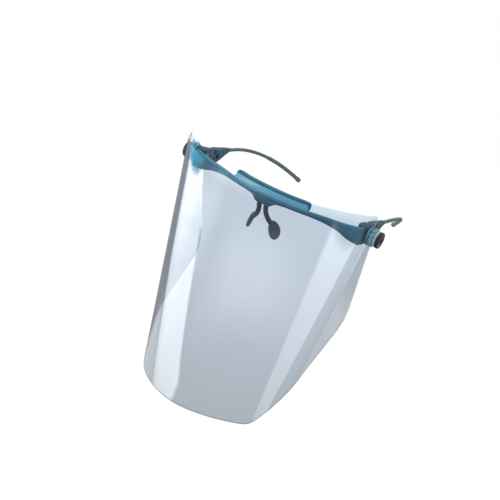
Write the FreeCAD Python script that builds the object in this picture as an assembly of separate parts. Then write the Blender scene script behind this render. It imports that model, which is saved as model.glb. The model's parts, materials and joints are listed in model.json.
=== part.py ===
import FreeCAD, Part
import math
import os
from FreeCAD import Vector

# Face shield on a spectacle frame: a brow bar with two temples carries a large clear visor
# that turns up on two side knobs.
# All sizes are in millimetres. The origin is the middle of the visor's pivot axis, which is the
# X axis. +X is to the right as the wearer's face is seen from the front, -Y is the front and
# +Z is up. The left side is the mirror image of the right side.

os.makedirs("parts", exist_ok=True)

# ---------------------------------------------------------------- clearances
RUNNING_FIT = 0.06        # radial play of a turning pin or bush
PIN_FIT = 0.02            # radial play of a pin or screw that is fixed in its hole
AXIAL_PLAY = 0.10         # gap between faces that turn on each other
SOFT_GAP = 0.25           # gap between a soft pad and its carrier
HINGE_PLAY = 0.15         # gap above and below the end block's hinge tongue

# ---------------------------------------------------------------- brow bar
BROW_FRONT = 25.2         # reach of the bar's front in front of the pivot axis, at the nose
BROW_RADIUS = 69.0        # plan radius of the bar's front over the forehead
BAR_THICKNESS = 3.2
END_FRONT = 8.0           # reach of the straight bar ends in front of the pivot axis
BAR_HALF_WIDTH = 68.3
BAR_TOP = 1.1             # height of the bar's top edge over the nose
BAR_BOTTOM = -2.2         # height of its lower edge over the nose
WAIST_FROM_END = 18.3     # the bar starts to widen into its fish-tail this far from its end
WAIST_TOP = 1.6
WAIST_BOTTOM = -4.4
FLARE_FROM_END = 9.3      # and is half open this far from its end
FLARE_TOP = 2.8
FLARE_BOTTOM = -7.2
TAIL_TOP = 5.8            # top and bottom of the fish-tail at its end
TAIL_BOTTOM = -8.0
TAIL_CORNER = 1.6
BAR_EDGE = 0.5            # rounding of the bar's long edges

# ---------------------------------------------------------------- brow pad and its carrier
PAD_HALF_LENGTH = 29.0
PAD_THICKNESS = 4.0
PAD_RISE = 6.2            # the pad's top above the bar's
PAD_HEIGHT = 8.6
PAD_CORNER = 3.2
CARRIER_WALL = 1.0
CARRIER_CORNER = 1.5
CARRIER_RISE = 2.9        # how far the sloped face rises above the bar
CARRIER_SETBACK = 0.4     # the slope starts this far behind the bar's front edge
CARRIER_SKIRT = 2.0       # how far the back wall hangs below the bar's top
CARRIER_PIN_X = 18.0
CARRIER_PIN_RADIUS = 0.9
CARRIER_PIN_DEPTH = 2.0   # reach of each pin into the bar

# ---------------------------------------------------------------- nose piece
BRIDGE_HALF_WIDTH = 5.2
BRIDGE_HEIGHT = 3.9
BRIDGE_CORNER = 1.2
BRIDGE_FLARE_HALF_WIDTH = 15.0   # the block spreads to this where it meets the bar
BRIDGE_FLARE_HEIGHT = 2.0
BRIDGE_SCREW_RADIUS = 0.8
BRIDGE_SCREW_HEAD = 1.2
BRIDGE_SCREW_HEAD_HEIGHT = 0.9
BRIDGE_SCREW_LENGTH = 5.6
ARM_RADIUS = 1.5
SPIGOT_RADIUS = 0.8
# Places on the right nose arm, from the middle of the bar's lower front edge.
ARM_SPREAD = 3.2          # out from the middle, where the arm leaves the bridge
ARM_INSET = 1.6           # behind the bar's front
ARM_DROP = 2.2            # below the bar
BEND_SPREAD = 3.8         # half way along the arm
BEND_INSET = 8.2
BEND_DROP = 12.2
NOSE_PAD_SPREAD = 9.3     # the pad's centre
NOSE_PAD_INSET = 15.6
NOSE_PAD_DROP = 20.6
NOSE_PAD_LENGTH = 15.6
NOSE_PAD_WIDTH = 9.6
NOSE_PAD_THICKNESS = 4.0
NOSE_PAD_DOWN = Vector(0.33, 0.58, -0.74)   # direction of the pad's long axis
NOSE_PAD_FACE = Vector(-0.93, 0.33, -0.16)  # direction that the pad's face looks, to the nose
ARM_SINK = 0.35           # the arm's full thickness ends this far below the pad's top
SPIGOT_END = 2.25         # the arm's spigot ends this far above the pad's centre

# ---------------------------------------------------------------- end block
BLOCK_THICKNESS = 6.3     # along X
BLOCK_BACK = 9.6
BLOCK_TOP = 6.2
BLOCK_BOTTOM = -7.6
BLOCK_SHOULDER_Y = 3.0
BLOCK_NOSE_CORNER = 1.2
BLOCK_SHOULDER_CORNER = 4.0
BLOCK_EDGE = 0.9
BLOCK_PIN_RADIUS = 1.0
BLOCK_PIN_Z = 3.4
BLOCK_PIN_LENGTH = 5.4
BLOCK_PIN_IN_BAR = 2.2
BOSS_RADIUS = 6.4
BOSS_HEIGHT = 1.0
SEAT_DEPTH = 1.0          # pieces that are fused into one reach this far into each other

# ---------------------------------------------------------------- visor pivot
PIVOT_RADIUS = 2.0        # shank of the pivot screw
PIVOT_HEAD_RADIUS = 3.2
PIVOT_HEAD_HEIGHT = 1.5
WASHER_THICKNESS = 0.8
WASHER_RADIUS = 5.8
BUSH_NECK = 3.95          # the bush's neck, which fills the visor's hole
BUSH_FLANGE = 6.6         # radius of the flange inside the sheet
BUSH_FLANGE_THICKNESS = 1.4
BUSH_COLLAR = 6.6         # radius of the collar outside it
BUSH_COLLAR_LENGTH = 2.8  # from the sheet's outer face to the end of the bush
FLUTE_COUNT = 10          # grip flutes round the collar
FLUTE_RADIUS = 1.3
FLUTE_DEPTH = 0.5
SPACER_THICKNESS = 1.7    # pale ring between the bush and the knob
SPACER_RADIUS = 5.4
KNOB_RADIUS = 5.7
KNOB_THICKNESS = 2.6
KNOB_EDGE = 0.7
KNOB_THREAD_DEPTH = 1.6
KNOB_SLOT_WIDTH = 1.2
KNOB_SLOT_DEPTH = 0.6
KNOB_SLOT_LENGTH = 6.4

# ---------------------------------------------------------------- temple and its hinge
HINGE_REACH = 4.2         # from the end block's back to the hinge's axis
KNUCKLE_RADIUS = 3.1
HINGE_TOP = 5.4
HINGE_BOTTOM = -4.4
EAR_HEIGHT = 3.1
HINGE_SCREW_RADIUS = 0.9
HINGE_HEAD_RADIUS = 1.7
HINGE_HEAD_HEIGHT = 0.9
EAR_GAP = 0.6             # from the block's tongue to the end of the slot between the ears
BASE_LENGTH = 22.2        # from the hinge's axis
BASE_TIP_HALF_THICKNESS = 1.75
BASE_STEP = 4.2           # length of the base that keeps the hinge's full height
BASE_BEND = 3.0           # rounding where the base starts to taper
BASE_EDGE = 0.6
TEMPLE_RADIUS = 1.3
TEMPLE_HEIGHT = 3.7       # height of the arm's straight run
TEMPLE_SOCKET = 6.0       # reach of the arm into the base
ARM_STRAIGHT = 12.0       # straight run of the arm behind the base
HOOK_DROP = 21.0          # fall of the arm's tip below its straight run
HOOK_INWARD = 20.3        # how far the tip comes in towards the head
HOOK_REACH = 94.5         # length of the bent stretch, measured along Y
SLEEVE_LENGTH = 46.0
SLEEVE_RADIUS = 1.6
SLEEVE_TIP_RADIUS = 2.0
SLEEVE_COVER = 2.5        # how far the arm ends before the sleeve's tip

# ---------------------------------------------------------------- visor
SHEET = 0.6               # thickness of the clear sheet
VISOR_DEPTH = 76.0        # reach of its front before the axis
FRONT_FULLNESS = 0.43     # Bezier handle of the plan curve: 0.55 is an ellipse
APEX_DROP = 760.0         # the cone's apex is this far below the axis
APEX_BACK = 2.5           # and this far behind it
VISOR_LEAN = 4.25         # the cone leans in towards the chin by these degrees
SIDE_RUN = 75.0           # straight sides behind the axis, before they are trimmed
VISOR_TOP = 16.0
VISOR_HEIGHT = 173.0      # from its top edge to the corner at the chin
VISOR_FRONT_RISE = 4.5    # the lower edge rises by this from that corner to the front
LOBE_FRONT = -8.0         # the sheet's top edge slopes down from here, over the pivot,
LOBE_BACK = 8.5           # to its edge behind the pivot
LOBE_HEIGHT = 3.5
LOBE_TOP_CORNER = 8.0
LOBE_BACK_CORNER = 6.0
LOBE_DROP = 7.0           # below the pivot the edge starts to run back towards the cheek
CHEEK_BACK = 47.5         # the corner where the side reaches furthest back
CHEEK_DROP = 92.0         # from the top edge
CHEEK_CORNER = 18.0
JAW_BACK = 10.0
JAW_DROP = 130.5          # from the top edge
JAW_CORNER = 80.0
CHIN_BACK = -17.0
CHIN_CORNER = 9.0

# ---------------------------------------------------------------- construction margins
FRONT_MARGIN = 30.0       # trimming outlines run past what they trim by this much
END_MARGIN = 2.0          # degrees that the pad's arc runs past its trimmed ends

X_AXIS = Vector(1, 0, 0)
Y_AXIS = Vector(0, 1, 0)
Z_AXIS = Vector(0, 0, 1)
ORIGIN = Vector(0, 0, 0)

END_STEP = 0.001          # a short turn, in radians, that gives the bend's direction at its end
TOUCH = 0.01              # tolerance for finding an edge at a known place

# Places that several pieces share, along X and along the frame.
BLOCK_INNER = BAR_HALF_WIDTH - BLOCK_THICKNESS
BLOCK_FRONT = BAR_THICKNESS - END_FRONT
BOSS_FACE = BAR_HALF_WIDTH + BOSS_HEIGHT
WASHER_FACE = BOSS_FACE + WASHER_THICKNESS
BUSH_INNER = WASHER_FACE + AXIAL_PLAY
VISOR_HALF_WIDTH = BUSH_INNER + BUSH_FLANGE_THICKNESS + SHEET
BUSH_OUTER = VISOR_HALF_WIDTH + BUSH_COLLAR_LENGTH
SPACER_INNER = BUSH_OUTER + AXIAL_PLAY
KNOB_INNER = SPACER_INNER + SPACER_THICKNESS
KNOB_FACE = KNOB_INNER + KNOB_THICKNESS
HINGE_X = (BLOCK_INNER + BAR_HALF_WIDTH) / 2
HINGE_AXIS_Y = BLOCK_BACK + HINGE_REACH
BASE_END = HINGE_AXIS_Y + BASE_LENGTH
STRAIGHT_END = BASE_END + ARM_STRAIGHT
BROW_CENTRE_Y = BROW_RADIUS - BROW_FRONT
PAD_TOP = BAR_TOP + PAD_RISE
PAD_BOTTOM = PAD_TOP - PAD_HEIGHT
BRIDGE_FOOT = BAR_BOTTOM - BRIDGE_HEIGHT
ARM_ROOT = Vector(ARM_SPREAD, ARM_INSET - BROW_FRONT, BAR_BOTTOM - ARM_DROP)
ARM_BEND = Vector(BEND_SPREAD, BEND_INSET - BROW_FRONT, BAR_BOTTOM - BEND_DROP)
NOSE_PAD_CENTRE = Vector(NOSE_PAD_SPREAD, NOSE_PAD_INSET - BROW_FRONT,
                         BAR_BOTTOM - NOSE_PAD_DROP)
VISOR_CHIN_CORNER = VISOR_TOP - VISOR_HEIGHT
VISOR_BOTTOM = VISOR_CHIN_CORNER + VISOR_FRONT_RISE
CHEEK_HEIGHT = VISOR_TOP - CHEEK_DROP
JAW_HEIGHT = VISOR_TOP - JAW_DROP


def cylinder(start, direction, radius, length):
    """A round bar from a start point along a direction."""
    return Part.makeCylinder(radius, length, start, direction)


def mirror(shape):
    """The same piece on the left side."""
    return shape.mirror(ORIGIN, X_AXIS)


def rounded_outline(corners, place):
    """A closed wire through corners given as (u, v, radius); place turns u, v into a point."""
    points = [Vector(u, v, 0) for u, v, _ in corners]
    edges = []
    previous_end = None
    first_start = None
    count = len(corners)
    for index, (_, _, radius) in enumerate(corners):
        corner = points[index]
        to_last = (points[index - 1] - corner).normalize()
        to_next = (points[(index + 1) % count] - corner).normalize()
        half_angle = to_last.getAngle(to_next) / 2
        reach = radius / math.tan(half_angle)
        start = corner + to_last * reach
        end = corner + to_next * reach
        if previous_end is not None:
            edges.append(Part.LineSegment(place(previous_end), place(start)).toShape())
        else:
            first_start = start
        if radius > 0:
            inward = (to_last + to_next).normalize()
            middle = corner + inward * (radius / math.sin(half_angle) - radius)
            edges.append(Part.Arc(place(start), place(middle), place(end)).toShape())
        previous_end = end
    edges.append(Part.LineSegment(place(previous_end), place(first_start)).toShape())
    return Part.Wire(edges)


def side_prism(corners, x_from, x_to):
    """An outline in the YZ plane, carried along X."""
    wire = rounded_outline(corners, lambda p: Vector(x_from, p.x, p.y))
    return Part.Face(wire).extrude(X_AXIS * (x_to - x_from))


def front_prism(corners, y_from, y_to):
    """An outline in the XZ plane, carried along Y."""
    wire = rounded_outline(corners, lambda p: Vector(p.x, y_from, p.y))
    return Part.Face(wire).extrude(Y_AXIS * (y_to - y_from))


def plan_prism(corners, z_from, z_to):
    """An outline in the XY plane, carried along Z."""
    wire = rounded_outline(corners, lambda p: Vector(p.x, p.y, z_from))
    return Part.Face(wire).extrude(Z_AXIS * (z_to - z_from))


def pipe(path_edges, radius):
    """A round rod along a smooth path of edges."""
    path = Part.Wire(path_edges)
    first = path_edges[0]
    start = first.valueAt(first.FirstParameter)
    tangent = first.tangentAt(first.FirstParameter)
    ring = Part.Wire(Part.makeCircle(radius, start, tangent))
    return path.makePipeShell([ring], True, True)


def ring(x_from, x_to, inner, outer):
    """A flat ring about the pivot axis, on the right side."""
    disc = cylinder(X_AXIS * x_from, X_AXIS, outer, x_to - x_from)
    return disc.cut(cylinder(X_AXIS * x_from, X_AXIS, inner, x_to - x_from))


def save(name, shape):
    shape.exportStep(os.path.join("parts", name + ".step"))


def save_pair(name, right_shape):
    save(name + "_right", right_shape)
    save(name + "_left", mirror(right_shape))


# ---------------------------------------------------------------- brow bar


def bar_plan_edges(setback):
    """The bar's plan line at a setback behind its front: straight, arc, brow arc, arc, straight."""
    brow = BROW_RADIUS - setback
    # The end arc touches both the brow arc and the straight end.
    rise = BROW_CENTRE_Y + END_FRONT
    end_radius = (BLOCK_INNER**2 + rise**2 - BROW_RADIUS**2) / (2 * (BROW_RADIUS - rise))
    end_centre = Vector(BLOCK_INNER, -END_FRONT - end_radius, 0)
    brow_centre = Vector(0, BROW_CENTRE_Y, 0)
    end_arc = end_radius + setback
    towards_end = (end_centre - brow_centre).normalize()
    touch = brow_centre + towards_end * brow
    straight_start = end_centre + Y_AXIS * end_arc
    between = (touch - end_centre).normalize() + (straight_start - end_centre).normalize()
    middle = end_centre + between.normalize() * end_arc
    tip = Vector(BAR_HALF_WIDTH, straight_start.y, 0)
    flip = lambda p: Vector(-p.x, p.y, p.z)
    front = brow_centre - Y_AXIS * brow
    return [
        Part.LineSegment(flip(tip), flip(straight_start)).toShape(),
        Part.Arc(flip(straight_start), flip(middle), flip(touch)).toShape(),
        Part.Arc(flip(touch), front, touch).toShape(),
        Part.Arc(touch, middle, straight_start).toShape(),
        Part.LineSegment(straight_start, tip).toShape(),
    ]


def bar_edge_lines(level, flare_points):
    """The bar's upper or lower edge: level over the brow, then a smooth curve out to each end."""
    points = [Vector(PAD_HALF_LENGTH, 0, level)] + [Vector(x, 0, z) for x, z in flare_points]
    curve = Part.BSplineCurve()
    curve.interpolate(Points=points, InitialTangent=X_AXIS, FinalTangent=points[-1] - points[-2])
    right = curve.toShape()
    middle = Part.LineSegment(Vector(-PAD_HALF_LENGTH, 0, level), points[0]).toShape()
    return [mirror(right), middle, right]


def bar_band():
    """The bar's plan shape between its front and back lines, far taller than the bar."""
    lines = [bar_plan_edges(0), bar_plan_edges(BAR_THICKNESS)]
    left_tips = [line[0].valueAt(line[0].FirstParameter) for line in lines]
    right_tips = [line[-1].valueAt(line[-1].LastParameter) for line in lines]
    ends = [Part.LineSegment(*tips).toShape() for tips in (left_tips, right_tips)]
    plan = Part.Wire(Part.__sortEdges__(lines[0] + lines[1] + ends))
    band = Part.Face(plan).extrude(Z_AXIS * 2 * BAR_HALF_WIDTH)
    band.translate(Z_AXIS * -BAR_HALF_WIDTH)
    return band


def make_brow_bar():
    """The bar: narrow over the nose, opening into a fish-tail at each end."""
    waist = BAR_HALF_WIDTH - WAIST_FROM_END
    flare = BAR_HALF_WIDTH - FLARE_FROM_END
    top = bar_edge_lines(BAR_TOP, [(waist, WAIST_TOP), (flare, FLARE_TOP),
                                   (BAR_HALF_WIDTH, TAIL_TOP)])
    bottom = bar_edge_lines(BAR_BOTTOM, [(waist, WAIST_BOTTOM), (flare, FLARE_BOTTOM),
                                         (BAR_HALF_WIDTH, TAIL_BOTTOM)])
    ends = [Part.LineSegment(Vector(x, 0, TAIL_TOP), Vector(x, 0, TAIL_BOTTOM)).toShape()
            for x in (-BAR_HALF_WIDTH, BAR_HALF_WIDTH)]
    elevation = Part.Wire(Part.__sortEdges__(top + bottom + ends))
    slab = Part.Face(elevation).extrude(Y_AXIS * (BROW_FRONT + END_FRONT))
    slab.translate(Y_AXIS * (-BROW_FRONT - END_FRONT / 2))
    bar = bar_band().common(slab).Solids[0]
    tail_corners = [edge for edge in bar.Edges
                    if edge.BoundBox.XLength < TOUCH and edge.BoundBox.ZLength < TOUCH]
    bar = bar.makeFillet(TAIL_CORNER, tail_corners)
    long_edges = [edge for edge in bar.Edges
                  if edge.BoundBox.YLength < BAR_THICKNESS - TOUCH or edge.BoundBox.XLength > TAIL_CORNER]
    return bar.makeFillet(BAR_EDGE, long_edges).Solids[0]


def block_pins(play):
    """The two pins that join the bar's end to the right end block, or the holes for them."""
    pins = []
    for z in (-BLOCK_PIN_Z, BLOCK_PIN_Z):
        start = Vector(HINGE_X, BLOCK_FRONT - BLOCK_PIN_IN_BAR, z)
        pins.append(cylinder(start, Y_AXIS, BLOCK_PIN_RADIUS + play, BLOCK_PIN_LENGTH))
    return pins


def carrier_pins(radius):
    """The two pins that hold the pad's carrier on the back of the bar."""
    back = BROW_RADIUS - BAR_THICKNESS - CARRIER_WALL
    pins = []
    for side in (-1, 1):
        turn = side * math.asin(CARRIER_PIN_X / BROW_RADIUS)
        outward = Vector(math.sin(turn), -math.cos(turn), 0)
        height = Z_AXIS * (BAR_TOP + BAR_BOTTOM) / 2
        start = Vector(0, BROW_CENTRE_Y, 0) + outward * back + height
        pins.append(cylinder(start, outward, radius, CARRIER_WALL + CARRIER_PIN_DEPTH))
    return pins


def revolve_over_brow(section):
    """A section given as (radius, height) points, turned about the brow arc's centre."""
    points = [Vector(0, BROW_CENTRE_Y - radius, z) for radius, z in section]
    face = Part.Face(Part.makePolygon(points + [points[0]]))
    inner = min(radius for radius, _ in section)
    half_turn = math.degrees(math.asin(PAD_HALF_LENGTH / inner)) + END_MARGIN
    centre = Vector(0, BROW_CENTRE_Y, 0)
    face.rotate(centre, Z_AXIS, -half_turn)
    return face.revolve(centre, Z_AXIS, 2 * half_turn)


def trim_to_pad_length(shape, bottom, top, corner):
    """Trims an arc over the brow to the pad's length, with rounded corners."""
    outline = front_prism([(-PAD_HALF_LENGTH, bottom, corner), (PAD_HALF_LENGTH, bottom, corner),
                           (PAD_HALF_LENGTH, top, corner), (-PAD_HALF_LENGTH, top, corner)],
                          -BROW_FRONT, 0)
    return shape.common(outline)


def make_pad_carrier(bar):
    front = BROW_RADIUS - CARRIER_SETBACK
    back = BROW_RADIUS - BAR_THICKNESS
    top = BAR_TOP + CARRIER_RISE
    foot = BAR_TOP - BAR_EDGE
    bottom = BAR_TOP - CARRIER_SKIRT
    section = [(front, foot), (back, top), (back - CARRIER_WALL, top),
               (back - CARRIER_WALL, bottom), (back, bottom), (back, foot)]
    carrier = trim_to_pad_length(revolve_over_brow(section), bottom, top, CARRIER_CORNER).cut(bar)
    for pin in carrier_pins(CARRIER_PIN_RADIUS + PIN_FIT):
        carrier = carrier.cut(pin)
    return carrier.Solids[0]


def make_brow_pad():
    front = BROW_RADIUS - BAR_THICKNESS - CARRIER_WALL - SOFT_GAP
    back = front - PAD_THICKNESS
    arc = revolve_over_brow([(front, PAD_TOP), (back, PAD_TOP), (back, PAD_BOTTOM),
                             (front, PAD_BOTTOM)])
    return trim_to_pad_length(arc, PAD_BOTTOM, PAD_TOP, PAD_CORNER).Solids[0]


# ---------------------------------------------------------------- nose piece


def bridge_screw_parts(play):
    """The bridge's screw from below: its shank and its sunk head, or holes for them."""
    start = Vector(0, BAR_THICKNESS / 2 - BROW_FRONT, BRIDGE_FOOT)
    shank = cylinder(start, Z_AXIS, BRIDGE_SCREW_RADIUS + play, BRIDGE_SCREW_LENGTH)
    head = cylinder(start, Z_AXIS, BRIDGE_SCREW_HEAD + play, BRIDGE_SCREW_HEAD_HEIGHT)
    return shank.fuse(head)


def make_nose_bridge(arms):
    """The block under the middle of the bar, which spreads towards it and holds the nose arms."""
    flare_foot = BAR_BOTTOM - BRIDGE_FLARE_HEIGHT
    outline = [(-BRIDGE_FLARE_HALF_WIDTH, BAR_BOTTOM, 0),
               (-BRIDGE_HALF_WIDTH, flare_foot, BRIDGE_CORNER),
               (-BRIDGE_HALF_WIDTH, BRIDGE_FOOT, BRIDGE_CORNER),
               (BRIDGE_HALF_WIDTH, BRIDGE_FOOT, BRIDGE_CORNER),
               (BRIDGE_HALF_WIDTH, flare_foot, BRIDGE_CORNER),
               (BRIDGE_FLARE_HALF_WIDTH, BAR_BOTTOM, 0)]
    block = front_prism(outline, -2 * BROW_FRONT, 0).common(bar_band())
    for piece in [bridge_screw_parts(PIN_FIT)] + arms:
        block = block.cut(piece)
    return block.Solids[0]


def nose_arm_path():
    """The arm's arc, split where it enters the pad: outer stretch, then the spigot's stretch."""
    down = Vector(NOSE_PAD_DOWN).normalize()
    end = NOSE_PAD_CENTRE - down * SPIGOT_END
    arc = Part.Arc(ARM_ROOT, ARM_BEND, end).toShape()
    pad_top = NOSE_PAD_CENTRE - down * (NOSE_PAD_LENGTH / 2 - ARM_SINK)
    split = arc.Curve.parameter(pad_top)
    outer = arc.Curve.toShape(arc.FirstParameter, split)
    inner = arc.Curve.toShape(split, arc.LastParameter)
    return outer, inner


def make_nose_arm():
    outer, inner = nose_arm_path()
    cover = pipe([outer], ARM_RADIUS)
    spigot = pipe([inner], SPIGOT_RADIUS)
    return cover.fuse(spigot).removeSplitter()


def make_nose_pad(arm):
    """A lens-shaped pad, pushed over the end of its arm."""
    unit_radius = 0.5
    lens = Part.makeSphere(unit_radius)
    stretch = FreeCAD.Matrix()
    stretch.scale(NOSE_PAD_WIDTH, NOSE_PAD_THICKNESS, NOSE_PAD_LENGTH)
    lens = lens.transformGeometry(stretch)
    down = Vector(NOSE_PAD_DOWN).normalize()
    face = Vector(NOSE_PAD_FACE)
    face = (face - down * face.dot(down)).normalize()
    across = face.cross(down)
    turn = FreeCAD.Matrix(across.x, face.x, down.x, NOSE_PAD_CENTRE.x,
                          across.y, face.y, down.y, NOSE_PAD_CENTRE.y,
                          across.z, face.z, down.z, NOSE_PAD_CENTRE.z, 0, 0, 0, 1)
    lens.Placement = FreeCAD.Placement(turn)
    return lens.cut(arm).Solids[0]


# ---------------------------------------------------------------- end block and pivot


def hinge_tongue():
    """The end block's tongue, which the temple's two ears turn on."""
    bottom = HINGE_BOTTOM + EAR_HEIGHT + HINGE_PLAY
    height = HINGE_TOP - EAR_HEIGHT - HINGE_PLAY - bottom
    knuckle = cylinder(Vector(HINGE_X, HINGE_AXIS_Y, bottom), Z_AXIS, KNUCKLE_RADIUS, height)
    web = Part.makeBox(2 * KNUCKLE_RADIUS, HINGE_REACH + SEAT_DEPTH, height,
                       Vector(HINGE_X - KNUCKLE_RADIUS, BLOCK_BACK - SEAT_DEPTH, bottom))
    bore = cylinder(Vector(HINGE_X, HINGE_AXIS_Y, bottom), Z_AXIS,
                    HINGE_SCREW_RADIUS + RUNNING_FIT, height)
    return knuckle.fuse(web).cut(bore)


def hinge_screw_parts(play):
    """The temple's hinge screw with its sunk head, or the holes for it."""
    height = HINGE_TOP - HINGE_BOTTOM
    start = Vector(HINGE_X, HINGE_AXIS_Y, HINGE_BOTTOM)
    shank = cylinder(start, Z_AXIS, HINGE_SCREW_RADIUS + play, height)
    head_start = start + Z_AXIS * (height - HINGE_HEAD_HEIGHT)
    head = cylinder(head_start, Z_AXIS, HINGE_HEAD_RADIUS + play, HINGE_HEAD_HEIGHT)
    return shank.fuse(head)


def pivot_screw_parts(play):
    """The pivot screw, which runs from the block's inner face into the knob."""
    head_start = X_AXIS * BLOCK_INNER
    head = cylinder(head_start, X_AXIS, PIVOT_HEAD_RADIUS + play, PIVOT_HEAD_HEIGHT)
    length = KNOB_INNER + KNOB_THREAD_DEPTH - BLOCK_INNER
    shank = cylinder(head_start, X_AXIS, PIVOT_RADIUS + play, length)
    return head.fuse(shank)


def make_end_block():
    corners = [(BLOCK_FRONT, BLOCK_BOTTOM, BLOCK_NOSE_CORNER),
               (BLOCK_SHOULDER_Y, BLOCK_BOTTOM, BLOCK_SHOULDER_CORNER),
               (BLOCK_BACK, HINGE_BOTTOM, 0), (BLOCK_BACK, HINGE_TOP, 0),
               (BLOCK_SHOULDER_Y, BLOCK_TOP, BLOCK_SHOULDER_CORNER),
               (BLOCK_FRONT, BLOCK_TOP, BLOCK_NOSE_CORNER)]
    block = side_prism(corners, BLOCK_INNER, BAR_HALF_WIDTH)
    seat_start = X_AXIS * (BAR_HALF_WIDTH - SEAT_DEPTH)
    boss_seat = block.common(cylinder(seat_start, X_AXIS, BOSS_RADIUS, SEAT_DEPTH))
    boss = cylinder(X_AXIS * BAR_HALF_WIDTH, X_AXIS, BOSS_RADIUS, BOSS_HEIGHT)
    outer_rim = [edge for edge in block.Edges
                 if edge.BoundBox.XMin > BAR_HALF_WIDTH - TOUCH
                 and edge.BoundBox.YMax > BLOCK_FRONT + TOUCH
                 and edge.BoundBox.YMin < BLOCK_BACK - TOUCH]
    block = block.makeFillet(BLOCK_EDGE, outer_rim)
    block = block.fuse(boss_seat).fuse(boss).fuse(hinge_tongue())
    for hole in [pivot_screw_parts(PIN_FIT)] + block_pins(PIN_FIT):
        block = block.cut(hole)
    return block.removeSplitter().Solids[0]


def make_knob():
    knob = cylinder(X_AXIS * KNOB_INNER, X_AXIS, KNOB_RADIUS, KNOB_THICKNESS)
    knob = knob.makeFillet(KNOB_EDGE, [edge for edge in knob.Edges
                                       if edge.BoundBox.XMin > KNOB_FACE - TOUCH])
    slot = Part.makeBox(KNOB_SLOT_DEPTH, KNOB_SLOT_LENGTH, KNOB_SLOT_WIDTH,
                        Vector(KNOB_FACE - KNOB_SLOT_DEPTH, -KNOB_SLOT_LENGTH / 2,
                               -KNOB_SLOT_WIDTH / 2))
    return knob.cut(slot).cut(pivot_screw_parts(0)).Solids[0]


def make_visor_bush():
    """The turning bush: it grips the sheet between a flange and a collar."""
    bore = PIVOT_RADIUS + RUNNING_FIT
    flange = ring(BUSH_INNER, BUSH_OUTER, bore, BUSH_FLANGE).common(cone_block(SHEET))
    neck = ring(BUSH_INNER, BUSH_OUTER, bore, BUSH_NECK)
    collar = ring(BUSH_INNER, BUSH_OUTER, bore, BUSH_COLLAR).cut(cone_block(0))
    flute_from_axis = BUSH_COLLAR + FLUTE_RADIUS - FLUTE_DEPTH
    for index in range(FLUTE_COUNT):
        turn = 2 * math.pi * index / FLUTE_COUNT
        start = Vector(VISOR_HALF_WIDTH - SEAT_DEPTH, flute_from_axis * math.cos(turn),
                       flute_from_axis * math.sin(turn))
        collar = collar.cut(cylinder(start, X_AXIS, FLUTE_RADIUS, BUSH_OUTER - start.x))
    return flange.fuse(neck).fuse(collar).removeSplitter().Solids[0]


# ---------------------------------------------------------------- temple


def make_temple_base():
    """The rigid root of the temple, from its two hinge ears to the arm's socket."""
    taper_start = HINGE_AXIS_Y + BASE_STEP
    front = HINGE_AXIS_Y - KNUCKLE_RADIUS
    side = side_prism([(front, HINGE_BOTTOM, 0), (taper_start, HINGE_BOTTOM, BASE_BEND),
                       (BASE_END, TEMPLE_HEIGHT - BASE_TIP_HALF_THICKNESS, 0),
                       (BASE_END, TEMPLE_HEIGHT + BASE_TIP_HALF_THICKNESS, 0),
                       (taper_start, HINGE_TOP, BASE_BEND), (front, HINGE_TOP, 0)],
                      BLOCK_INNER, BAR_HALF_WIDTH)
    plan = plan_prism([(HINGE_X - KNUCKLE_RADIUS, HINGE_AXIS_Y, 0),
                       (HINGE_X + KNUCKLE_RADIUS, HINGE_AXIS_Y, 0),
                       (HINGE_X + KNUCKLE_RADIUS, taper_start, BASE_BEND),
                       (HINGE_X + BASE_TIP_HALF_THICKNESS, BASE_END, 0),
                       (HINGE_X - BASE_TIP_HALF_THICKNESS, BASE_END, 0),
                       (HINGE_X - KNUCKLE_RADIUS, taper_start, BASE_BEND)],
                      HINGE_BOTTOM, HINGE_TOP)
    ears = cylinder(Vector(HINGE_X, HINGE_AXIS_Y, HINGE_BOTTOM), Z_AXIS, KNUCKLE_RADIUS,
                    HINGE_TOP - HINGE_BOTTOM)
    base = plan.fuse(ears).common(side).removeSplitter()
    base = base.makeFillet(BASE_EDGE, [edge for edge in base.Edges
                                       if edge.BoundBox.YLength > BASE_STEP])
    slot = Part.makeBox(BLOCK_THICKNESS, 2 * KNUCKLE_RADIUS + EAR_GAP,
                        HINGE_TOP - HINGE_BOTTOM - 2 * EAR_HEIGHT,
                        Vector(BLOCK_INNER, front, HINGE_BOTTOM + EAR_HEIGHT))
    socket = cylinder(Vector(HINGE_X, BASE_END - TEMPLE_SOCKET, TEMPLE_HEIGHT), Y_AXIS,
                      TEMPLE_RADIUS, TEMPLE_SOCKET)
    for space in (slot, hinge_screw_parts(PIN_FIT), socket):
        base = base.cut(space)
    return base.Solids[0]


def hook_arc():
    """The temple's bend: its circle and the direction that it bends to."""
    offset = math.hypot(HOOK_DROP, HOOK_INWARD)
    radius = (HOOK_REACH**2 + offset**2) / (2 * offset)
    inward = Vector(-HOOK_INWARD, 0, -HOOK_DROP).normalize()
    start = Vector(HINGE_X, STRAIGHT_END, TEMPLE_HEIGHT)
    return start, inward, radius, 2 * math.atan2(offset, HOOK_REACH)


def hook_point(turn):
    """A point on the bend, after a turn in radians from its start."""
    start, inward, radius, _ = hook_arc()
    return start + inward * (radius * (1 - math.cos(turn))) + Y_AXIS * (radius * math.sin(turn))


def bend_edge(turn_from, turn_to):
    middle = (turn_from + turn_to) / 2
    return Part.Arc(hook_point(turn_from), hook_point(middle), hook_point(turn_to)).toShape()


def make_temple_arm():
    _, _, radius, turn = hook_arc()
    root = Vector(HINGE_X, BASE_END - TEMPLE_SOCKET, TEMPLE_HEIGHT)
    straight = Part.LineSegment(root, hook_point(0)).toShape()
    return pipe([straight, bend_edge(0, turn - SLEEVE_COVER / radius)], TEMPLE_RADIUS)


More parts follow.
